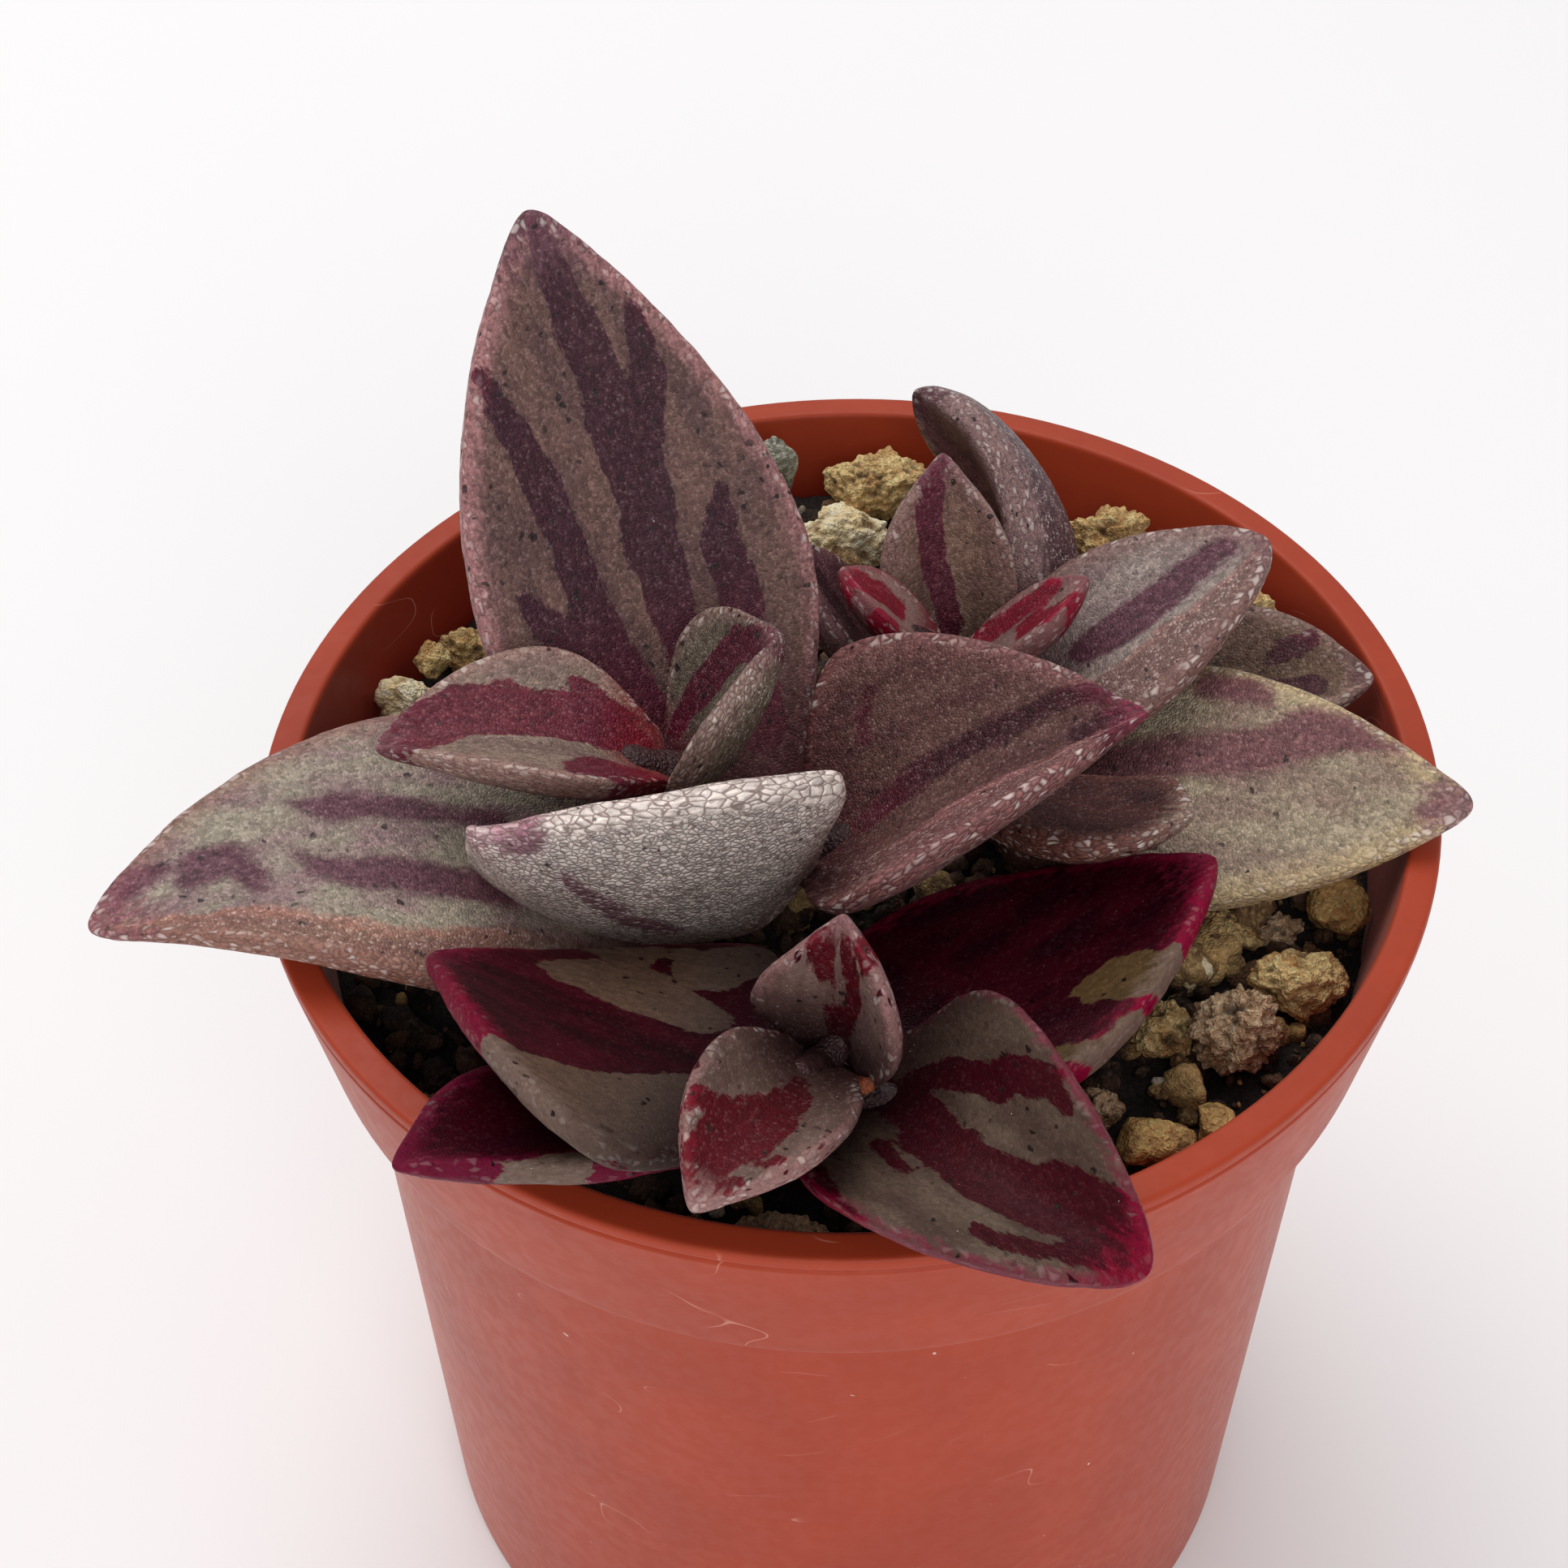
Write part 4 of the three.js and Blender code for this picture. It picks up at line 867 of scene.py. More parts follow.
def rounded_profile(corners, steps=5):
    """Points of a line through the corners, each corner turned into a small arc."""
    ends = [(0, 0)] + [corner[:2] for corner in corners] + [(0, FLOOR)]
    line = [Vector(ends[0])]
    for index, (radius, height, turn) in enumerate(corners, start=1):
        here = Vector((radius, height))
        back = (Vector(ends[index - 1]) - here).normalized() * turn
        on = (Vector(ends[index + 1]) - here).normalized() * turn
        arc = [here + back * (1 - step / steps) ** 2 + on * (step / steps) ** 2 for step in range(steps + 1)]
        line += [here + back * 1.8] + arc + [here + on * 1.8] if turn > 0.2 else arc
    return line + [Vector(ends[-1])]


SWEEP_RADIUS = 1


def profile_curve(points):
    """The profile as Curve to Mesh wants it: x outwards from the small sweep circle, and y pointing down."""
    data = bpy.data.curves.new("pot_profile", "CURVE")
    data.dimensions = "3D"
    spline = data.splines.new("POLY")
    spline.points.add(len(points) - 1)
    for target, point in zip(spline.points, points):
        target.co = ((point[0] - SWEEP_RADIUS) * MM, -point[1] * MM, 0, 1)
    return add_object("pot_profile", data)


profile = profile_curve(rounded_profile(CORNERS))
print("profile points:", len(profile.data.splines[0].points))

# %% Pot tree
def turned_pot_tree():
    inputs = [("Geometry", GEOMETRY, None), ("Sides", WHOLE, 160), ("Height", FLOAT, 0.05),
              ("Squeeze", FLOAT, 0.0), ("Squeeze heading", FLOAT, 0.0), ("Hole count", WHOLE, 5),
              ("Hole radius", FLOAT, 0.002), ("Hole ring", FLOAT, 0.01), ("Material", MATERIAL, None)]
    tree, given, out = new_tree("Turned pot", "GeometryNodeTree", inputs, [("Geometry", GEOMETRY)])
    circle = place(tree, "GeometryNodeCurvePrimitiveCircle", {
        "Resolution": given["Sides"], "Radius": SWEEP_RADIUS * MM})
    upright = place(tree, "GeometryNodeSetCurveNormal", {"Curve": circle.outputs["Curve"]}, mode="Z_UP")
    sweep = place(tree, "GeometryNodeCurveToMesh", {"Curve": upright.outputs[0], "Profile Curve": given["Geometry"]})
    merged = place(tree, "GeometryNodeMergeByDistance", {"Geometry": sweep.outputs[0], "Distance": 0.000002})
    joined = place(tree, "GeometryNodeFlipFaces", {"Mesh": merged.outputs[0]})

    position = place(tree, "GeometryNodeInputPosition").outputs[0]
    parts = place(tree, "ShaderNodeSeparateXYZ", {0: position}).outputs
    heading = calc(tree, "ARCTAN2", parts["Y"], parts["X"])
    swing = calc(tree, "COSINE", times(tree, calc(tree, "SUBTRACT", heading, given["Squeeze heading"]), 2.0))
    rise = calc(tree, "DIVIDE", parts["Z"], given["Height"])
    share = calc(tree, "MULTIPLY_ADD", times(tree, swing, rise), given["Squeeze"], 1.0)
    stretch = place(tree, "ShaderNodeCombineXYZ", {"X": share, "Y": share, "Z": 1.0}).outputs[0]
    squeezed = place(tree, "GeometryNodeSetPosition", {
        "Geometry": joined.outputs[0], "Position": vector_calc(tree, "MULTIPLY", position, stretch)})

    ring = place(tree, "GeometryNodeMeshCircle", {"Vertices": given["Hole count"], "Radius": given["Hole ring"]})
    half_turn = calc(tree, "DIVIDE", math.pi, given["Hole count"])
    half_step = place(tree, "ShaderNodeCombineXYZ", {"Z": half_turn}).outputs[0]
    turned = place(tree, "GeometryNodeTransform", {"Geometry": ring.outputs[0], "Rotation": half_step})
    drill = place(tree, "GeometryNodeMeshCylinder", {"Vertices": 32, "Radius": given["Hole radius"], "Depth": 0.01})
    holes = place(tree, "GeometryNodeInstanceOnPoints", {"Points": turned.outputs[0], "Instance": drill.outputs[0]})
    cutters = place(tree, "GeometryNodeRealizeInstances", {"Geometry": holes.outputs[0]})
    drilled = place(tree, "GeometryNodeMeshBoolean", {"Mesh 1": squeezed.outputs[0], "Mesh 2": cutters.outputs[0]})
    whole = place(tree, "GeometryNodeRealizeInstances", {"Geometry": drilled.outputs[0]})
    painted = place(tree, "GeometryNodeSetMaterial", {"Geometry": whole.outputs[0], "Material": given["Material"]})
    tree.links.new(painted.outputs[0], out["Geometry"])
    return tree


def evaluated_mesh(source):
    """A plain mesh of the object as its modifiers shape it."""
    graph = bpy.context.evaluated_depsgraph_get()
    return bpy.data.meshes.new_from_object(source.evaluated_get(graph), depsgraph=graph)


def bake_nodes(source, tree, name, settings):
    """Runs a node tree on an object with its inputs set, and keeps the result as a plain mesh object."""
    modifier = source.modifiers.new(tree.name, "NODES")
    modifier.node_group = tree
    for item in tree.interface.items_tree:
        if item.in_out == "INPUT" and item.name in settings:
            modifier[item.identifier] = settings[item.name]
    mesh = evaluated_mesh(source)
    mesh.name = name
    source.modifiers.remove(modifier)
    return add_object(name, mesh)


print("pot tree ready")

# %% [markdown]
# ## Pot plastic
#
# The plastic is a terracotta orange with a soft satin sheen. Handling leaves it worn: long fine scratches that curve
# round the wall, small pale nicks and a slightly darker tone in clouds. Inside, between the soil and the rim, the wall
# is laid a deeper red as painted shade. The masks read object coordinates, which suit a moulded piece with no grain
# of its own.

# %% Pot material
def object_mm(tree):
    """The place on the piece in millimetres."""
    return vector_calc(tree, "MULTIPLY", place(tree, "ShaderNodeTexCoord").outputs["Object"], (1 / MM,) * 3)


def scratches_group():
    inputs = [("Vector", VECTOR, None), ("Size", FLOAT, 8.0), ("Width", FLOAT, 0.004), ("Turn", FLOAT, 0.0)]
    tree, given, out = new_tree("Scratches", "ShaderNodeTree", inputs, [("Mask", FLOAT)])
    angle = place(tree, "ShaderNodeCombineXYZ", {"Z": given["Turn"]}).outputs[0]
    turned = place(tree, "ShaderNodeVectorRotate", {"Vector": given["Vector"], "Rotation": angle},
                   rotation_type="EULER_XYZ")
    scaled = vector_calc(tree, "MULTIPLY", turned.outputs[0], (1.0, 1.0, 2.6))
    scale = calc(tree, "DIVIDE", 1.0, given["Size"])
    lines = noise_at(tree, scaled, scale, 0.0)["Fac"]
    level = calc(tree, "ABSOLUTE", calc(tree, "SUBTRACT", lines, 0.5))
    line = fade(tree, level, 0.0, given["Width"], 1.0, 0.0)
    breaks = noise_at(tree, given["Vector"], 0.22, 1.0)["Fac"]
    fill(tree, out, {"Mask": times(tree, line, fade(tree, breaks, 0.59, 0.65))})
    return tree


scratches = scratches_group()


def pot_plastic():
    material, tree, shader = new_material("terracotta_plastic")
    shader.inputs["Sheen Weight"].default_value = 0.16
    shader.inputs["Specular IOR Level"].default_value = 0.25
    shader.inputs["Sheen Roughness"].default_value = 0.35
    shader.inputs["Sheen Tint"].default_value = rgb(255, 232, 226)
    vector = object_mm(tree)
    parts = place(tree, "ShaderNodeSeparateXYZ", {0: vector}).outputs
    clouds = effect(tree, mottle, Vector=vector, Coarse_size=7.0, Fine_size=0.8)
    colour = mix(tree, clouds["Coarse"], rgb(168, 60, 31), rgb(160, 56, 29))
    colour = lay(tree, colour, clouds["Fine"], 0.12, rgb(150, 50, 27))

    squares = [calc(tree, "POWER", parts[axis], 2.0) for axis in "XY"]
    radius = calc(tree, "POWER", calc(tree, "ADD", *squares), 0.5)
    # Painted shade: the inner wall between the soil and the rim is laid a darker red.
    inner = fade(tree, radius, 25.6, 26.0, 1.0, 0.0)
    inside = times(tree, inner, fade(tree, parts["Z"], 49.5, 49.9, 1.0, 0.0))
    inside = times(tree, inside, fade(tree, parts["Z"], 42.0, 42.5))
    colour = lay(tree, colour, inside, 0.75, rgb(132, 30, 16))

    scratch = effect(tree, scratches, Vector=vector, Size=6.0, Width=0.004, Turn=1.9)["Mask"]
    colour = lay(tree, colour, scratch, 0.5, rgb(226, 170, 150))
    nicks = effect(tree, speckles, Vector=vector, Spacing=1.6, Size=0.1, Share=0.16)["Mask"]
    colour = lay(tree, colour, nicks, 0.7, rgb(236, 214, 200))

    rough = calc(tree, "MULTIPLY_ADD", clouds["Fine"], 0.08, 0.44)
    rough = calc(tree, "MULTIPLY_ADD", scratch, 0.2, rough)
    return surface(material, colour, rough, noise_at(tree, vector, 3.5, 1.0)["Fac"], 0.3, 0.02 * MM)


plastic = pot_plastic()
pot_sizes = {
    "Sides": 160, "Height": POT_HEIGHT * MM, "Squeeze": SQUEEZE, "Squeeze heading": SQUEEZE_HEADING, "Hole count": 5,
    "Hole radius": 2.4 * MM, "Hole ring": 13 * MM, "Material": plastic,
}
pot_piece = bake_nodes(profile, turned_pot_tree(), "turned_pot", pot_sizes)
bpy.data.objects.remove(profile, do_unlink=True)
shade_smooth(pot_piece.data)
print("pot faces:", len(pot_piece.data.polygons), "size mm:", [round(side / MM, 1) for side in pot_piece.dimensions])

# %% [markdown]
# ## Soil
#
# The potting mix is nearly black when damp. Its top rises a little towards the back, and is broken into crumbs, with
# chunks of baked clay, ochre and cream grit and bits of root on it. A fine, bumpy bed carries the loose grains.
# Modelling each grain by hand would take days, so Geometry Nodes scatter a simple grain over the bed, turn and stretch
# each one by seeded random values, and then push all their points by noise, so that no two keep the same shape.

# %% Soil bed
SOIL_HEIGHT, SOIL_TILT = 44.2, 0.07
BED_RADIUS = 24.95
BED_RINGS, BED_SIDES = 62, 240
BED_SKIRT = [(24.45, 42.6), (22.8, 41.0), (21.0, 1.85)]
BED_FOOT = 1.85
GRAIN_FLOOR, GRAIN_EDGE = 42.4, 23.9


def squeeze_share(heading, height):
    return 1 + SQUEEZE * height / POT_HEIGHT * math.cos(2 * (heading - SQUEEZE_HEADING))


def bed_height(x, y):
    spot = Vector((x, y, 4.0))
    lumps = 0.55 * noise.noise(spot * 0.22) + 0.42 * noise.noise(spot * 0.7) + 0.2 * noise.noise(spot * 1.9)
    return SOIL_HEIGHT - 0.35 + SOIL_TILT * y + lumps


def soil_bed():
    vertices = [(0, 0, bed_height(0, 0))]
    for ring in range(1, BED_RINGS + 1):
        for side in range(BED_SIDES):
            heading = 2 * math.pi * side / BED_SIDES
            reach = BED_RADIUS * ring / BED_RINGS * squeeze_share(heading, SOIL_HEIGHT)
            x, y = reach * math.cos(heading), reach * math.sin(heading)
            vertices.append((x, y, bed_height(x, y)))
    for radius, height in BED_SKIRT:
        for side in range(BED_SIDES):
            heading = 2 * math.pi * side / BED_SIDES
            reach = radius * squeeze_share(heading, height)
            vertices.append((reach * math.cos(heading), reach * math.sin(heading), height))
    vertices.append((0, 0, BED_FOOT))
    faces = [(0, 1 + side, 1 + (side + 1) % BED_SIDES) for side in range(BED_SIDES)]
    for ring in range(BED_RINGS + 2):
        inner, outer = 1 + ring * BED_SIDES, 1 + (ring + 1) * BED_SIDES
        for side in range(BED_SIDES):
            after = (side + 1) % BED_SIDES
            faces.append((inner + side, outer + side, outer + after, inner + after))
    last = 1 + (BED_RINGS + 2) * BED_SIDES
    faces += [(len(vertices) - 1, last + (side + 1) % BED_SIDES, last + side) for side in range(BED_SIDES)]
    return mesh_object("soil_bed", vertices, faces)


bed = soil_bed()
print("soil bed faces:", len(bed.data.polygons))

# %% Grain tree
def grain_tree():
    inputs = [("Geometry", GEOMETRY, None), ("Density", FLOAT, 1e6), ("Seed", WHOLE, 1),
              ("Smallest", FLOAT, 0.0002), ("Largest", FLOAT, 0.0006), ("Longest", FLOAT, 1.5),
              ("Edge", FLOAT, GRAIN_EDGE * MM),
              ("Clumping", FLOAT, 0.0), ("Sunk", FLOAT, 0.3), ("Roughness", FLOAT, 0.35),
              ("Detail", WHOLE, 2), ("Material", MATERIAL, None)]
    tree, given, out = new_tree("Scattered grains", "GeometryNodeTree", inputs, [("Geometry", GEOMETRY)])
    position = place(tree, "GeometryNodeInputPosition").outputs[0]
    parts = place(tree, "ShaderNodeSeparateXYZ", {0: position}).outputs
    flat = place(tree, "ShaderNodeCombineXYZ", {"X": parts["X"], "Y": parts["Y"]}).outputs[0]
    reach = place(tree, "ShaderNodeVectorMath", {0: flat}, operation="LENGTH").outputs["Value"]
    inside = calc(tree, "LESS_THAN", reach, given["Edge"])
    on_top = calc(tree, "GREATER_THAN", parts["Z"], GRAIN_FLOOR * MM)
    patches = noise_at(tree, position, 170.0, 1.0)["Fac"]
    clumped = calc(tree, "POWER", times(tree, patches, 1.9), given["Clumping"])
    density = times(tree, times(tree, given["Density"], clumped), times(tree, inside, on_top))
    points = place(tree, "GeometryNodeDistributePointsOnFaces", {
        "Mesh": given["Geometry"], "Density": density, "Seed": given["Seed"]})

    def random(kind, low, high, offset):
        seed = calc(tree, "ADD", given["Seed"], float(offset))
        slots = {"FLOAT": (2, 3, 1), "FLOAT_VECTOR": (0, 1, 0)}[kind]
        node = place(tree, "FunctionNodeRandomValue", {slots[0]: low, slots[1]: high, "Seed": seed}, data_type=kind)
        return node.outputs[slots[2]]

    turn = random("FLOAT_VECTOR", (0.0, 0.0, 0.0), (6.28, 6.28, 6.28), 11)
    pick = calc(tree, "POWER", random("FLOAT", 0.0, 1.0, 23), 2.2)
    spread = calc(tree, "SUBTRACT", given["Largest"], given["Smallest"])
    size = calc(tree, "MULTIPLY_ADD", spread, pick, given["Smallest"])
    long_side = place(tree, "ShaderNodeMapRange", {
        "Value": random("FLOAT", 0.0, 1.0, 37), "To Min": 1.0, "To Max": given["Longest"]}).outputs[0]
    stretch = place(tree, "ShaderNodeCombineXYZ", {"X": long_side, "Y": 1.0, "Z": 0.75}).outputs[0]
    sizes = place(tree, "ShaderNodeVectorMath", {0: stretch, "Scale": size}, operation="SCALE").outputs["Vector"]
    ball = place(tree, "GeometryNodeMeshIcoSphere", {"Radius": 1.0, "Subdivisions": given["Detail"]})
    grains = place(tree, "GeometryNodeInstanceOnPoints", {
        "Points": points.outputs["Points"], "Instance": ball.outputs[0], "Rotation": turn, "Scale": sizes})
    tinted = place(tree, "GeometryNodeStoreNamedAttribute", {
        "Geometry": grains.outputs[0], "Name": "tint", "Value": random("FLOAT", 0.0, 1.0, 53)},
        data_type="FLOAT", domain="INSTANCE")
    sized = place(tree, "GeometryNodeStoreNamedAttribute", {
        "Geometry": tinted.outputs[0], "Name": "grain_size", "Value": size}, data_type="FLOAT", domain="INSTANCE")
    real = place(tree, "GeometryNodeRealizeInstances", {"Geometry": sized.outputs[0]})

    grain_size = place(tree, "GeometryNodeInputNamedAttribute", {"Name": "grain_size"}, data_type="FLOAT").outputs[0]
    waves = calc(tree, "DIVIDE", 0.9, grain_size)
    lumps = noise_at(tree, position, waves, 2.0)["Fac"]
    normal = place(tree, "GeometryNodeInputNormal").outputs[0]
    push = times(tree, times(tree, calc(tree, "SUBTRACT", lumps, 0.5), grain_size),
                times(tree, given["Roughness"], 2.0))
    moved = place(tree, "ShaderNodeVectorMath", {0: normal, "Scale": push}, operation="SCALE").outputs["Vector"]
    sink = place(tree, "ShaderNodeCombineXYZ", {
        "Z": times(tree, calc(tree, "SUBTRACT", 0.6, given["Sunk"]), grain_size)}).outputs[0]
    shaped = place(tree, "GeometryNodeSetPosition", {
        "Geometry": real.outputs[0], "Offset": vector_calc(tree, "ADD", moved, sink)})
    painted = place(tree, "GeometryNodeSetMaterial", {"Geometry": shaped.outputs[0], "Material": given["Material"]})
    tree.links.new(painted.outputs[0], out["Geometry"])
    return tree


grains = grain_tree()
print("made tree:", grains.name)

# %% [markdown]
# ## Mineral finishes
#
# The grit is mostly weathered clay granules: ochre, cream and grey, with a granular broken surface, a darker tone in
# their hollows and a random tint each. Damp soil is almost black, and rough enough to show no shine. One function makes
# each mineral from two colours, so the gravel in the frame and the loose grains share the same look.

# %% Mineral material
def mineral(name, light, deep, dirt_and_hollows=(58, 38, 26), grainy=0.5, roughness=0.85, tinted=False, dirty=0.4, hollowed=False):
    material, tree, _ = new_material(name, roughness)
    vector = object_mm(tree)
    clouds = effect(tree, mottle, Vector=vector, Coarse_size=1.2, Fine_size=0.22)
    colour = mix(tree, clouds["Coarse"], rgb(*light), rgb(*deep))
    if tinted:
        tint = attribute(tree, "tint")
        colour = mix(tree, fade(tree, tint, 0.2, 0.9, 0.0, 0.85), colour, rgb(*deep))
        colour = mix(tree, fade(tree, tint, 0.86, 0.97, 0.0, 0.7), colour, shade(light, 1.25))
    crystals = effect(tree, skin_cells, Vector=vector, Cell_size=0.2)
    colour = lay(tree, colour, fade(tree, crystals["Tone"], 0.6, 1.0), 0.35, shade(light, 1.3))
    colour = lay(tree, colour, clouds["Fine"], dirty, rgb(*dirt_and_hollows))
    if hollowed:
        # The hollows that the mesh stores are laid darker.
        colour = mix(tree, fade(tree, attribute(tree, "hollow"), 0.1, 0.9, 0.0, 0.85), colour, rgb(*dirt_and_hollows))
    pits = effect(tree, speckles, Vector=vector, Spacing=0.35, Size=0.2, Share=0.2)["Mask"]
    colour = lay(tree, colour, pits, 0.5, rgb(*dirt_and_hollows))
    rough = calc(tree, "MULTIPLY_ADD", clouds["Fine"], 0.12, roughness - 0.06)
    relief = times(tree, crystals["Height"], grainy)
    if hollowed:
        relief = calc(tree, "SUBTRACT", relief, times(tree, clouds["Fine"], 0.8))
    return surface(material, colour, rough, relief, 0.8, 0.12 * MM)


bed_finish = mineral("damp_soil", (44, 32, 26), (24, 17, 14), dirt_and_hollows=(14, 10, 8), grainy=0.6, roughness=0.92, dirty=0.6)
bed.data.materials.append(bed_finish)
print("made material:", bed_finish.name)

# %% Loose grains
GRAIN_KINDS = {
    "soil_crumbs": dict(
        settings={"Density": 0.95e6, "Seed": 3, "Smallest": 0.14 * MM, "Largest": 0.85 * MM, "Longest": 1.8,
                  "Clumping": 0.0, "Sunk": 0.2, "Roughness": 0.9, "Detail": 2},
        finish=mineral("soil_crumb", (112, 82, 60), (44, 30, 23), dirt_and_hollows=(20, 13, 10), tinted=True, roughness=0.9)),
    "clay_chunks": dict(
        settings={"Density": 0.085e6, "Seed": 5, "Smallest": 0.45 * MM, "Largest": 1.35 * MM, "Longest": 1.5,
                  "Clumping": 0.6, "Sunk": 0.1, "Roughness": 0.95, "Detail": 3},
        finish=mineral("clay_chunk", (206, 168, 112), (112, 80, 52), dirt_and_hollows=(44, 29, 20), tinted=True, roughness=0.86)),
    "ochre_grit": dict(
        settings={"Density": 0.3e6, "Seed": 8, "Smallest": 0.12 * MM, "Largest": 0.5 * MM, "Longest": 1.5,
                  "Clumping": 0.9, "Sunk": 0.0, "Roughness": 0.8, "Detail": 2},
        finish=mineral("ochre_grain", (228, 184, 116), (140, 102, 64), tinted=True, roughness=0.82)),
    "pale_grit": dict(
        settings={"Density": 0.07e6, "Seed": 15, "Smallest": 0.12 * MM, "Largest": 0.4 * MM, "Longest": 1.3,
                  "Clumping": 0.8, "Sunk": -0.2, "Roughness": 0.6, "Detail": 2},
        finish=mineral("pale_grain", (240, 232, 214), (190, 176, 150), tinted=True, roughness=0.85)),
    "root_bits": dict(
        settings={"Density": 0.045e6, "Seed": 29, "Smallest": 0.06 * MM, "Largest": 0.12 * MM, "Longest": 16.0,
                  "Clumping": 0.0, "Sunk": -3.0, "Roughness": 0.6, "Detail": 2},
        finish=mineral("root_fibre", (158, 112, 76), (84, 56, 40), tinted=True, roughness=0.85)),
}
grain_pieces = []
for name, kind in GRAIN_KINDS.items():
    piece = bake_nodes(bed, grains, name, {**kind["settings"], "Edge": GRAIN_EDGE * MM, "Material": kind["finish"]})
    shade_smooth(piece.data)
    grain_pieces.append(piece)
    print(name, "triangles:", len(piece.data.polygons))

# %% [markdown]
# ## Gravel
#
# The larger stones are solids of their own in the frame. Each is rebuilt in place: a round mesh of the same three half
# sizes is cut by flat breaks at seeded places, then pushed in and out by noise, coarse for the crags and fine for the
# grains that make up a granule. The mesh stores how hollow each point lies, and the finish is darker there.

# %% Gravel stones
def stone(name, at, half, look, chips, grit):
    return {"name": name, "at": Vector(at), "half": half, "look": look, "chips": chips, "grit": grit}


STONES = [
    stone("stone_gold_rear", (1.9, 23.2, 47.9), (2.9, 1.8, 2), "gold", 0.5, 0.16),
    stone("stone_cream_rear", (0, 19.9, 46.9), (2.4, 1.5, 1.7), "cream", 0.4, 0.14),
    stone("stone_grey_rear", (-3.4, 23.8, 48.3), (1.1, 0.9, 2.2), "grey", 0.3, 0.06),
    stone("stone_knob_rear", (13.6, 19, 47.5), (2.1, 1.6, 1.5), "gold", 0.5, 0.16),
    stone("stone_right_rear", (20.5, 12.4, 47.7), (1.2, 1.1, 1.3), "gold", 0.35, 0.12),
    stone("stone_olive_rear", (11.6, 20.4, 45.6), (1.4, 1.2, 1.1), "cream", 0.35, 0.12),
    stone("stone_cream_left", (-21.6, 8.3, 46.2), (1.3, 1.2, 1.3), "cream", 0.3, 0.1),
    stone("stone_gold_left", (-19, 12.6, 45.8), (1.2, 1.1, 1.1), "gold", 0.35, 0.1),
    stone("stone_amber_left", (-20.6, 10.9, 46.6), (0.9, 0.9, 0.8), "gold", 0.25, 0.1),
    stone("stone_ochre_right", (22.2, -4.7, 44.9), (1.5, 1.4, 1.3), "ochre", 0.2, 0.05),
    stone("stone_yellow_right", (19.8, -9.1, 44.6), (2, 1.4, 1.6), "gold", 0.45, 0.12),
    stone("stone_crumb_right", (16.9, -12, 45), (1.9, 1.6, 2), "crumb", 0.5, 0.26),
    stone("stone_amber_right", (13.6, -11.1, 43.9), (1.5, 1.3, 1.1), "gold", 0.35, 0.12),
    stone("stone_pale_right", (15.4, -7.9, 44.1), (0.9, 0.9, 1), "cream", 0.25, 0.08),
    stone("stone_flat_right", (17.4, -5.4, 44.1), (1.6, 1.1, 0.9), "gold", 0.3, 0.12),
    stone("stone_rough_right", (19.8, -5.5, 43.9), (1.1, 0.9, 0.8), "crumb", 0.3, 0.18),
    stone("stone_bean_front", (12.5, -18.4, 44.9), (1.6, 1.2, 1.2), "ochre", 0.15, 0.04),
    stone("stone_chip_front", (15.4, -17, 44.4), (0.9, 0.9, 1), "ochre", 0.2, 0.06),
    stone("stone_olive_front", (10.6, -15.4, 43.8), (1, 0.9, 0.8), "crumb", 0.25, 0.16),
    stone("stone_slab_front", (-3.2, -22.3, 43.8), (2.1, 0.9, 0.9), "crumb", 0.25, 0.14),
    stone("stone_grey_front", (-20.4, -10.6, 43.8), (0.9, 0.8, 0.7), "grey", 0.2, 0.08),
    stone("stone_dark_front", (-18.4, -13.6, 43.6), (0.8, 0.8, 0.7), "crumb", 0.25, 0.14),
]
STONE_FINISHES = {
    "gold": mineral("gold_gravel", (246, 212, 146), (206, 158, 98), dirt_and_hollows=(72, 46, 26), grainy=0.7, hollowed=True),
    "cream": mineral("cream_gravel", (255, 244, 204), (240, 214, 160), dirt_and_hollows=(150, 120, 80), grainy=0.4, dirty=0.2,
                     hollowed=True),
    "grey": mineral("grey_gravel", (186, 184, 166), (140, 138, 120), dirt_and_hollows=(66, 60, 50), grainy=0.4, hollowed=True),
    "ochre": mineral("ochre_gravel", (238, 194, 122), (206, 152, 88), dirt_and_hollows=(120, 80, 44), grainy=0.3, roughness=0.7,
                     hollowed=True),
    "crumb": mineral("clay_crumb", (246, 210, 168), (196, 154, 116), dirt_and_hollows=(70, 46, 34), grainy=0.9, roughness=0.92,
                     hollowed=True),
}
print("stone finishes:", len(STONE_FINISHES))

# %% Broken stone shape
def broken_surface(way, planes, sharpness=9):
    """Distance from the centre to a stone cut by flat breaks, with slightly rounded edges between them."""
    total = sum((max(way.dot(normal), 0) / distance) ** sharpness for normal, distance in planes)
    return total ** (-1 / sharpness)


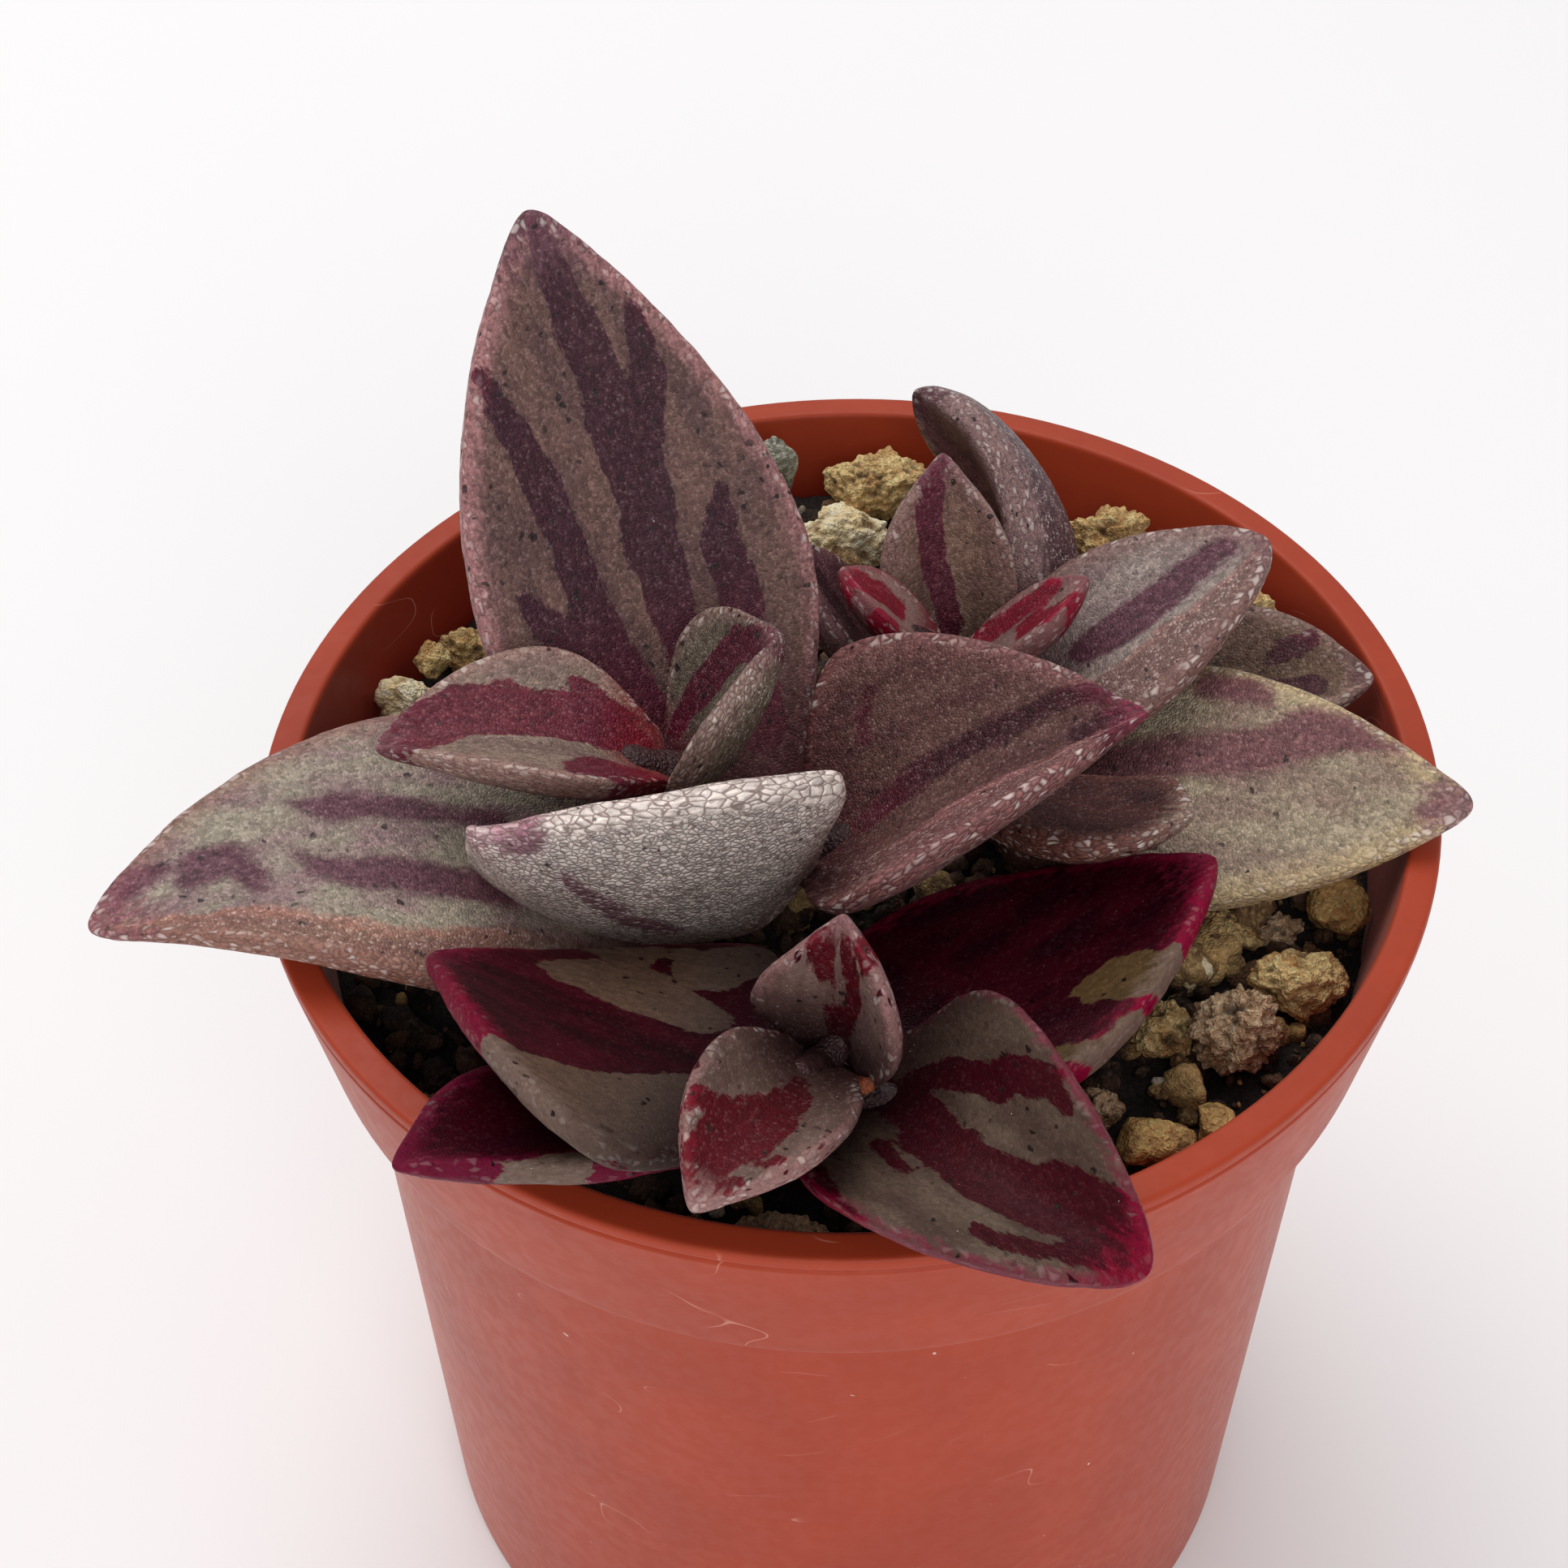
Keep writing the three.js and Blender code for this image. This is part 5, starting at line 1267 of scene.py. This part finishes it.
def make_stone(row, number):
    draw = np.random.default_rng(700 + number)
    planes = [(Vector(normal).normalized(), draw.uniform(0.78, 1.02)) for normal in draw.normal(size=(15, 3))]
    shape = bmesh.new()
    bmesh.ops.create_icosphere(shape, subdivisions=6 if max(row["half"]) > 1.3 else 5, radius=1)
    mesh = bpy.data.meshes.new(row["name"] + "_gravel")
    shape.to_mesh(mesh)
    shape.free()
    shift = Vector((number * 5.1, number * 2.7, 3.0))
    hollows = []
    for vertex in mesh.vertices:
        way = vertex.co.normalized()
        reach = min(broken_surface(way, planes), 1.15)
        spot = Vector([way[axis] * row["half"][axis] for axis in range(3)]) * reach
        crags = noise.noise(spot * 1.1 + shift) * row["chips"] + noise.noise(spot * 2.6 + shift) * row["chips"] * 0.5
        grains = (0.45 - noise.voronoi(spot * 2.6 + shift)[0][0]) * row["grit"] * 2.2
        vertex.co = (row["at"] + spot + way * (crags * 0.75 + grains)) * MM
        hollows.append(-(crags / row["chips"]) * 1.1 - grains / row["grit"] * 0.35)
    shade_smooth(mesh)
    store(mesh, "hollow", "FLOAT", hollows)
    mesh.materials.append(STONE_FINISHES[row["look"]])
    return add_object(mesh.name, mesh)


stone_pieces = {row["name"]: make_stone(row, number) for number, row in enumerate(STONES)}
shaded = mineral("shaded_gravel", (74, 58, 46), (46, 34, 27), dirt_and_hollows=(24, 17, 13), grainy=0.6, hollowed=True)
for name in ("stone_grey_front", "stone_dark_front"):
    stone_pieces[name].data.materials[0] = shaded
print("stones:", len(stone_pieces))

# %% [markdown]
# ## Stems
#
# Under each rosette is a short fleshy stem, and every leaf meets it by a thick stalk. The pieces of a real stem grow
# into each other, so its limbs are first laid as overlapping tubes. A voxel remesh melts them into one skin, and a
# smooth pass rounds the joints.

# %% Stems
STEMS = {
    "stem_left": (LEFT_LEAVES, [(-4.6, -3.8, 39), (-5.6, -3.6, 46.4), (-8.2, -2.7, 51.6)], (1.7, 1.5, 1.1)),
    "stem_front": (FRONT_LEAVES, [(-1.8, -17.2, 39), (-2.4, -19, 48), (-1.8, -20.4, 52.2)], (1.5, 1.4, 0.9)),
    "stem_rear": (REAR_LEAVES, [(6.4, 6.8, 39), (6, 7, 46), (4.9, 6.8, 50.3)], (1.6, 1.4, 0.9)),
    "stem_low": (LOW_LEAVES, [(5, 0.6, 39), (5.6, 0.4, 44.5), (6, 0.6, 47.2)], (1, 1, 0.8)),
}


def limb_mesh(start, end, start_radius, end_radius, sides=20, caps=5):
    """A tapered limb with round ends, as vertices and faces."""
    start, end = Vector(start), Vector(end)
    run = (end - start).normalized()
    turn = run.to_track_quat("Z", "Y")
    rings = [(start - run * start_radius * math.sin(a), start_radius * math.cos(a))
             for a in [math.pi / 2 * (1 - k / caps) for k in range(1, caps + 1)]]
    rings += [(end + run * end_radius * math.sin(a), end_radius * math.cos(a))
              for a in [math.pi / 2 * k / caps for k in range(caps)]]
    vertices = []
    for centre, radius in rings:
        for side in range(sides):
            angle = 2 * math.pi * side / sides
            vertices.append(centre + turn @ Vector((math.cos(angle), math.sin(angle), 0)) * radius)
    vertices += [start - run * start_radius, end + run * end_radius]
    return [tuple(vertex) for vertex in vertices], ring_faces(len(rings), sides)


def nearest_on_trunk(point, trunk):
    spots = []
    for lower, upper in zip(trunk, trunk[1:]):
        lower, upper = Vector(lower), Vector(upper)
        share = max(0.0, min(1.0, (point - lower).dot(upper - lower) / (upper - lower).length_squared))
        spots.append(lower.lerp(upper, share))
    return min(spots, key=lambda spot: (spot - point).length)


def make_stem(name, leaves, trunk, radii):
    vertices, faces = [], []

    def add(limb):
        faces.extend(tuple(index + len(vertices) for index in face) for face in limb[1])
        vertices.extend(limb[0])

    for index in range(2):
        add(limb_mesh(trunk[index], trunk[index + 1], radii[index], radii[index + 1]))
    for leaf in leaves.values():
        foot = Vector(leaf["foot"])
        forward, _ = leaf_directions(leaf, np.array(0.0))
        end = foot + Vector(forward) * 0.8
        radius = 0.36 * leaf["thick"]
        add(limb_mesh(nearest_on_trunk(foot, trunk), end, radius * 1.15, radius))
    made = mesh_object(name + "_flesh", vertices, faces)
    remesh = made.modifiers.new("melt", "REMESH")
    remesh.mode = "VOXEL"
    remesh.voxel_size = 0.2 * MM
    smooth = made.modifiers.new("round", "SMOOTH")
    smooth.iterations = 4
    mesh = evaluated_mesh(made)
    made.modifiers.clear()
    made.data = mesh
    shade_smooth(mesh)
    dent(made, [(0.08, 0.9), (0.03, 2.4)], len(trunk) + len(leaves))
    return made


def stem_skin():
    material, tree, _ = new_material("stem_skin")
    vector = object_mm(tree)
    clouds = effect(tree, mottle, Vector=vector, Coarse_size=1.6, Fine_size=0.3)
    colour = mix(tree, clouds["Coarse"], rgb(64, 24, 30), rgb(42, 13, 20))
    colour = lay(tree, colour, clouds["Fine"], 0.5, rgb(78, 50, 44))
    cells = effect(tree, skin_cells, Vector=vector, Cell_size=0.26)
    colour = lay(tree, colour, cells["Joint"], 0.5, rgb(44, 20, 24))
    rough = calc(tree, "MULTIPLY_ADD", clouds["Fine"], 0.15, 0.45)
    return surface(material, colour, rough, cells["Height"], 0.7, 0.08 * MM)


stem_finish = stem_skin()
stem_pieces = {name: make_stem(name, *parts) for name, parts in STEMS.items()}
for name, piece in stem_pieces.items():
    piece.data.materials.append(stem_finish)
    print(name, "faces:", len(piece.data.polygons))

# %% [markdown]
# ## Dried stub
#
# Beside the young front leaves stands the dry foot of a leaf that dropped off. It is thin, ribbed and curled, and
# orange-brown like paper. A short tapered limb, dented by deep noise, gives it that shape.

# %% Dried stub
stub_limb = limb_mesh((-0.5, -20.4, 51.2), (0.1, -21.6, 52.6), 0.5, 0.34, sides=28, caps=8)
stub = mesh_object("dried_leaf_stub", *stub_limb)
dent(stub, [(0.14, 1.6), (0.08, 4.5)], 6)
stub_finish = mineral("dried_leaf", (176, 92, 52), (120, 52, 32), dirt_and_hollows=(70, 32, 22), grainy=0.4, roughness=0.75)
stub.data.materials.append(stub_finish)
print("stub faces:", len(stub.data.polygons))

# %% [markdown]
# ## Floor and light
#
# The plant stands on a plain, nearly white sheet under soft window-like light from above and behind, with a dimmer
# fill from the front. Large round lights give such wide, soft-edged shading. The world's pale colour fills the shadows.

# %% Floor and light
FLOOR_REACH = 1500  # mm


def make_floor():
    corners = [(-1, -1), (1, -1), (1, 1), (-1, 1)]
    floor = mesh_object("studio_floor", [(FLOOR_REACH * x, FLOOR_REACH * y, 0) for x, y in corners], [range(4)])
    material, _, shader = new_material("pale_paper", 0.9)
    shader.inputs["Base Color"].default_value = rgb(247, 246, 246)
    floor.data.materials.append(material)
    return floor


def make_light(name, at, aim, size, power, colour):
    data = bpy.data.lights.new(name, "AREA")
    data.shape = "DISK"
    data.size = size
    data.energy = power
    data.color = colour
    light = add_object(name, data)
    light.location = Vector(at)
    light.rotation_euler = (Vector(aim) - Vector(at)).to_track_quat("-Z", "Y").to_euler()
    return light


floor = make_floor()
key_light = make_light("window_light", (-0.15, 0.25, 0.6), (0, 0, 0.04), 0.6, 2.3, (1.0, 0.985, 0.97))
fill_light = make_light("front_fill", (0.1, -0.55, 0.3), (0, 0, 0.04), 0.5, 1.5, (0.98, 0.99, 1.0))
world = bpy.data.worlds.new("pale_room")
SCENE.world = world
world.use_nodes = True
world.node_tree.nodes["Background"].inputs["Color"].default_value = (0.93, 0.93, 0.95, 1)
world.node_tree.nodes["Background"].inputs["Strength"].default_value = 0.55
SCENE.view_settings.view_transform = "Standard"
print("lights:", key_light.name, fill_light.name)

# %% [markdown]
# ## Pieces on the body
#
# Every piece rides on the one body, and where it stands for a solid of the frame, that solid is hidden.

# %% Pieces on the body
def dress(piece, nodes):
    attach(piece, "root")
    if nodes:
        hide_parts(*nodes)


dress(pot_piece, ["pot"])
for slot_name, (_, skins) in SLOT_SKINS.items():
    for name in skins:
        dress(leaf_pieces[name], [name])
for row in STONES:
    dress(stone_pieces[row["name"]], [row["name"]])
for name, piece in stem_pieces.items():
    dress(piece, [name])
dress(stub, ["dried_stub"])
dress(bed, ["soil"])
for piece in grain_pieces:
    dress(piece, [])
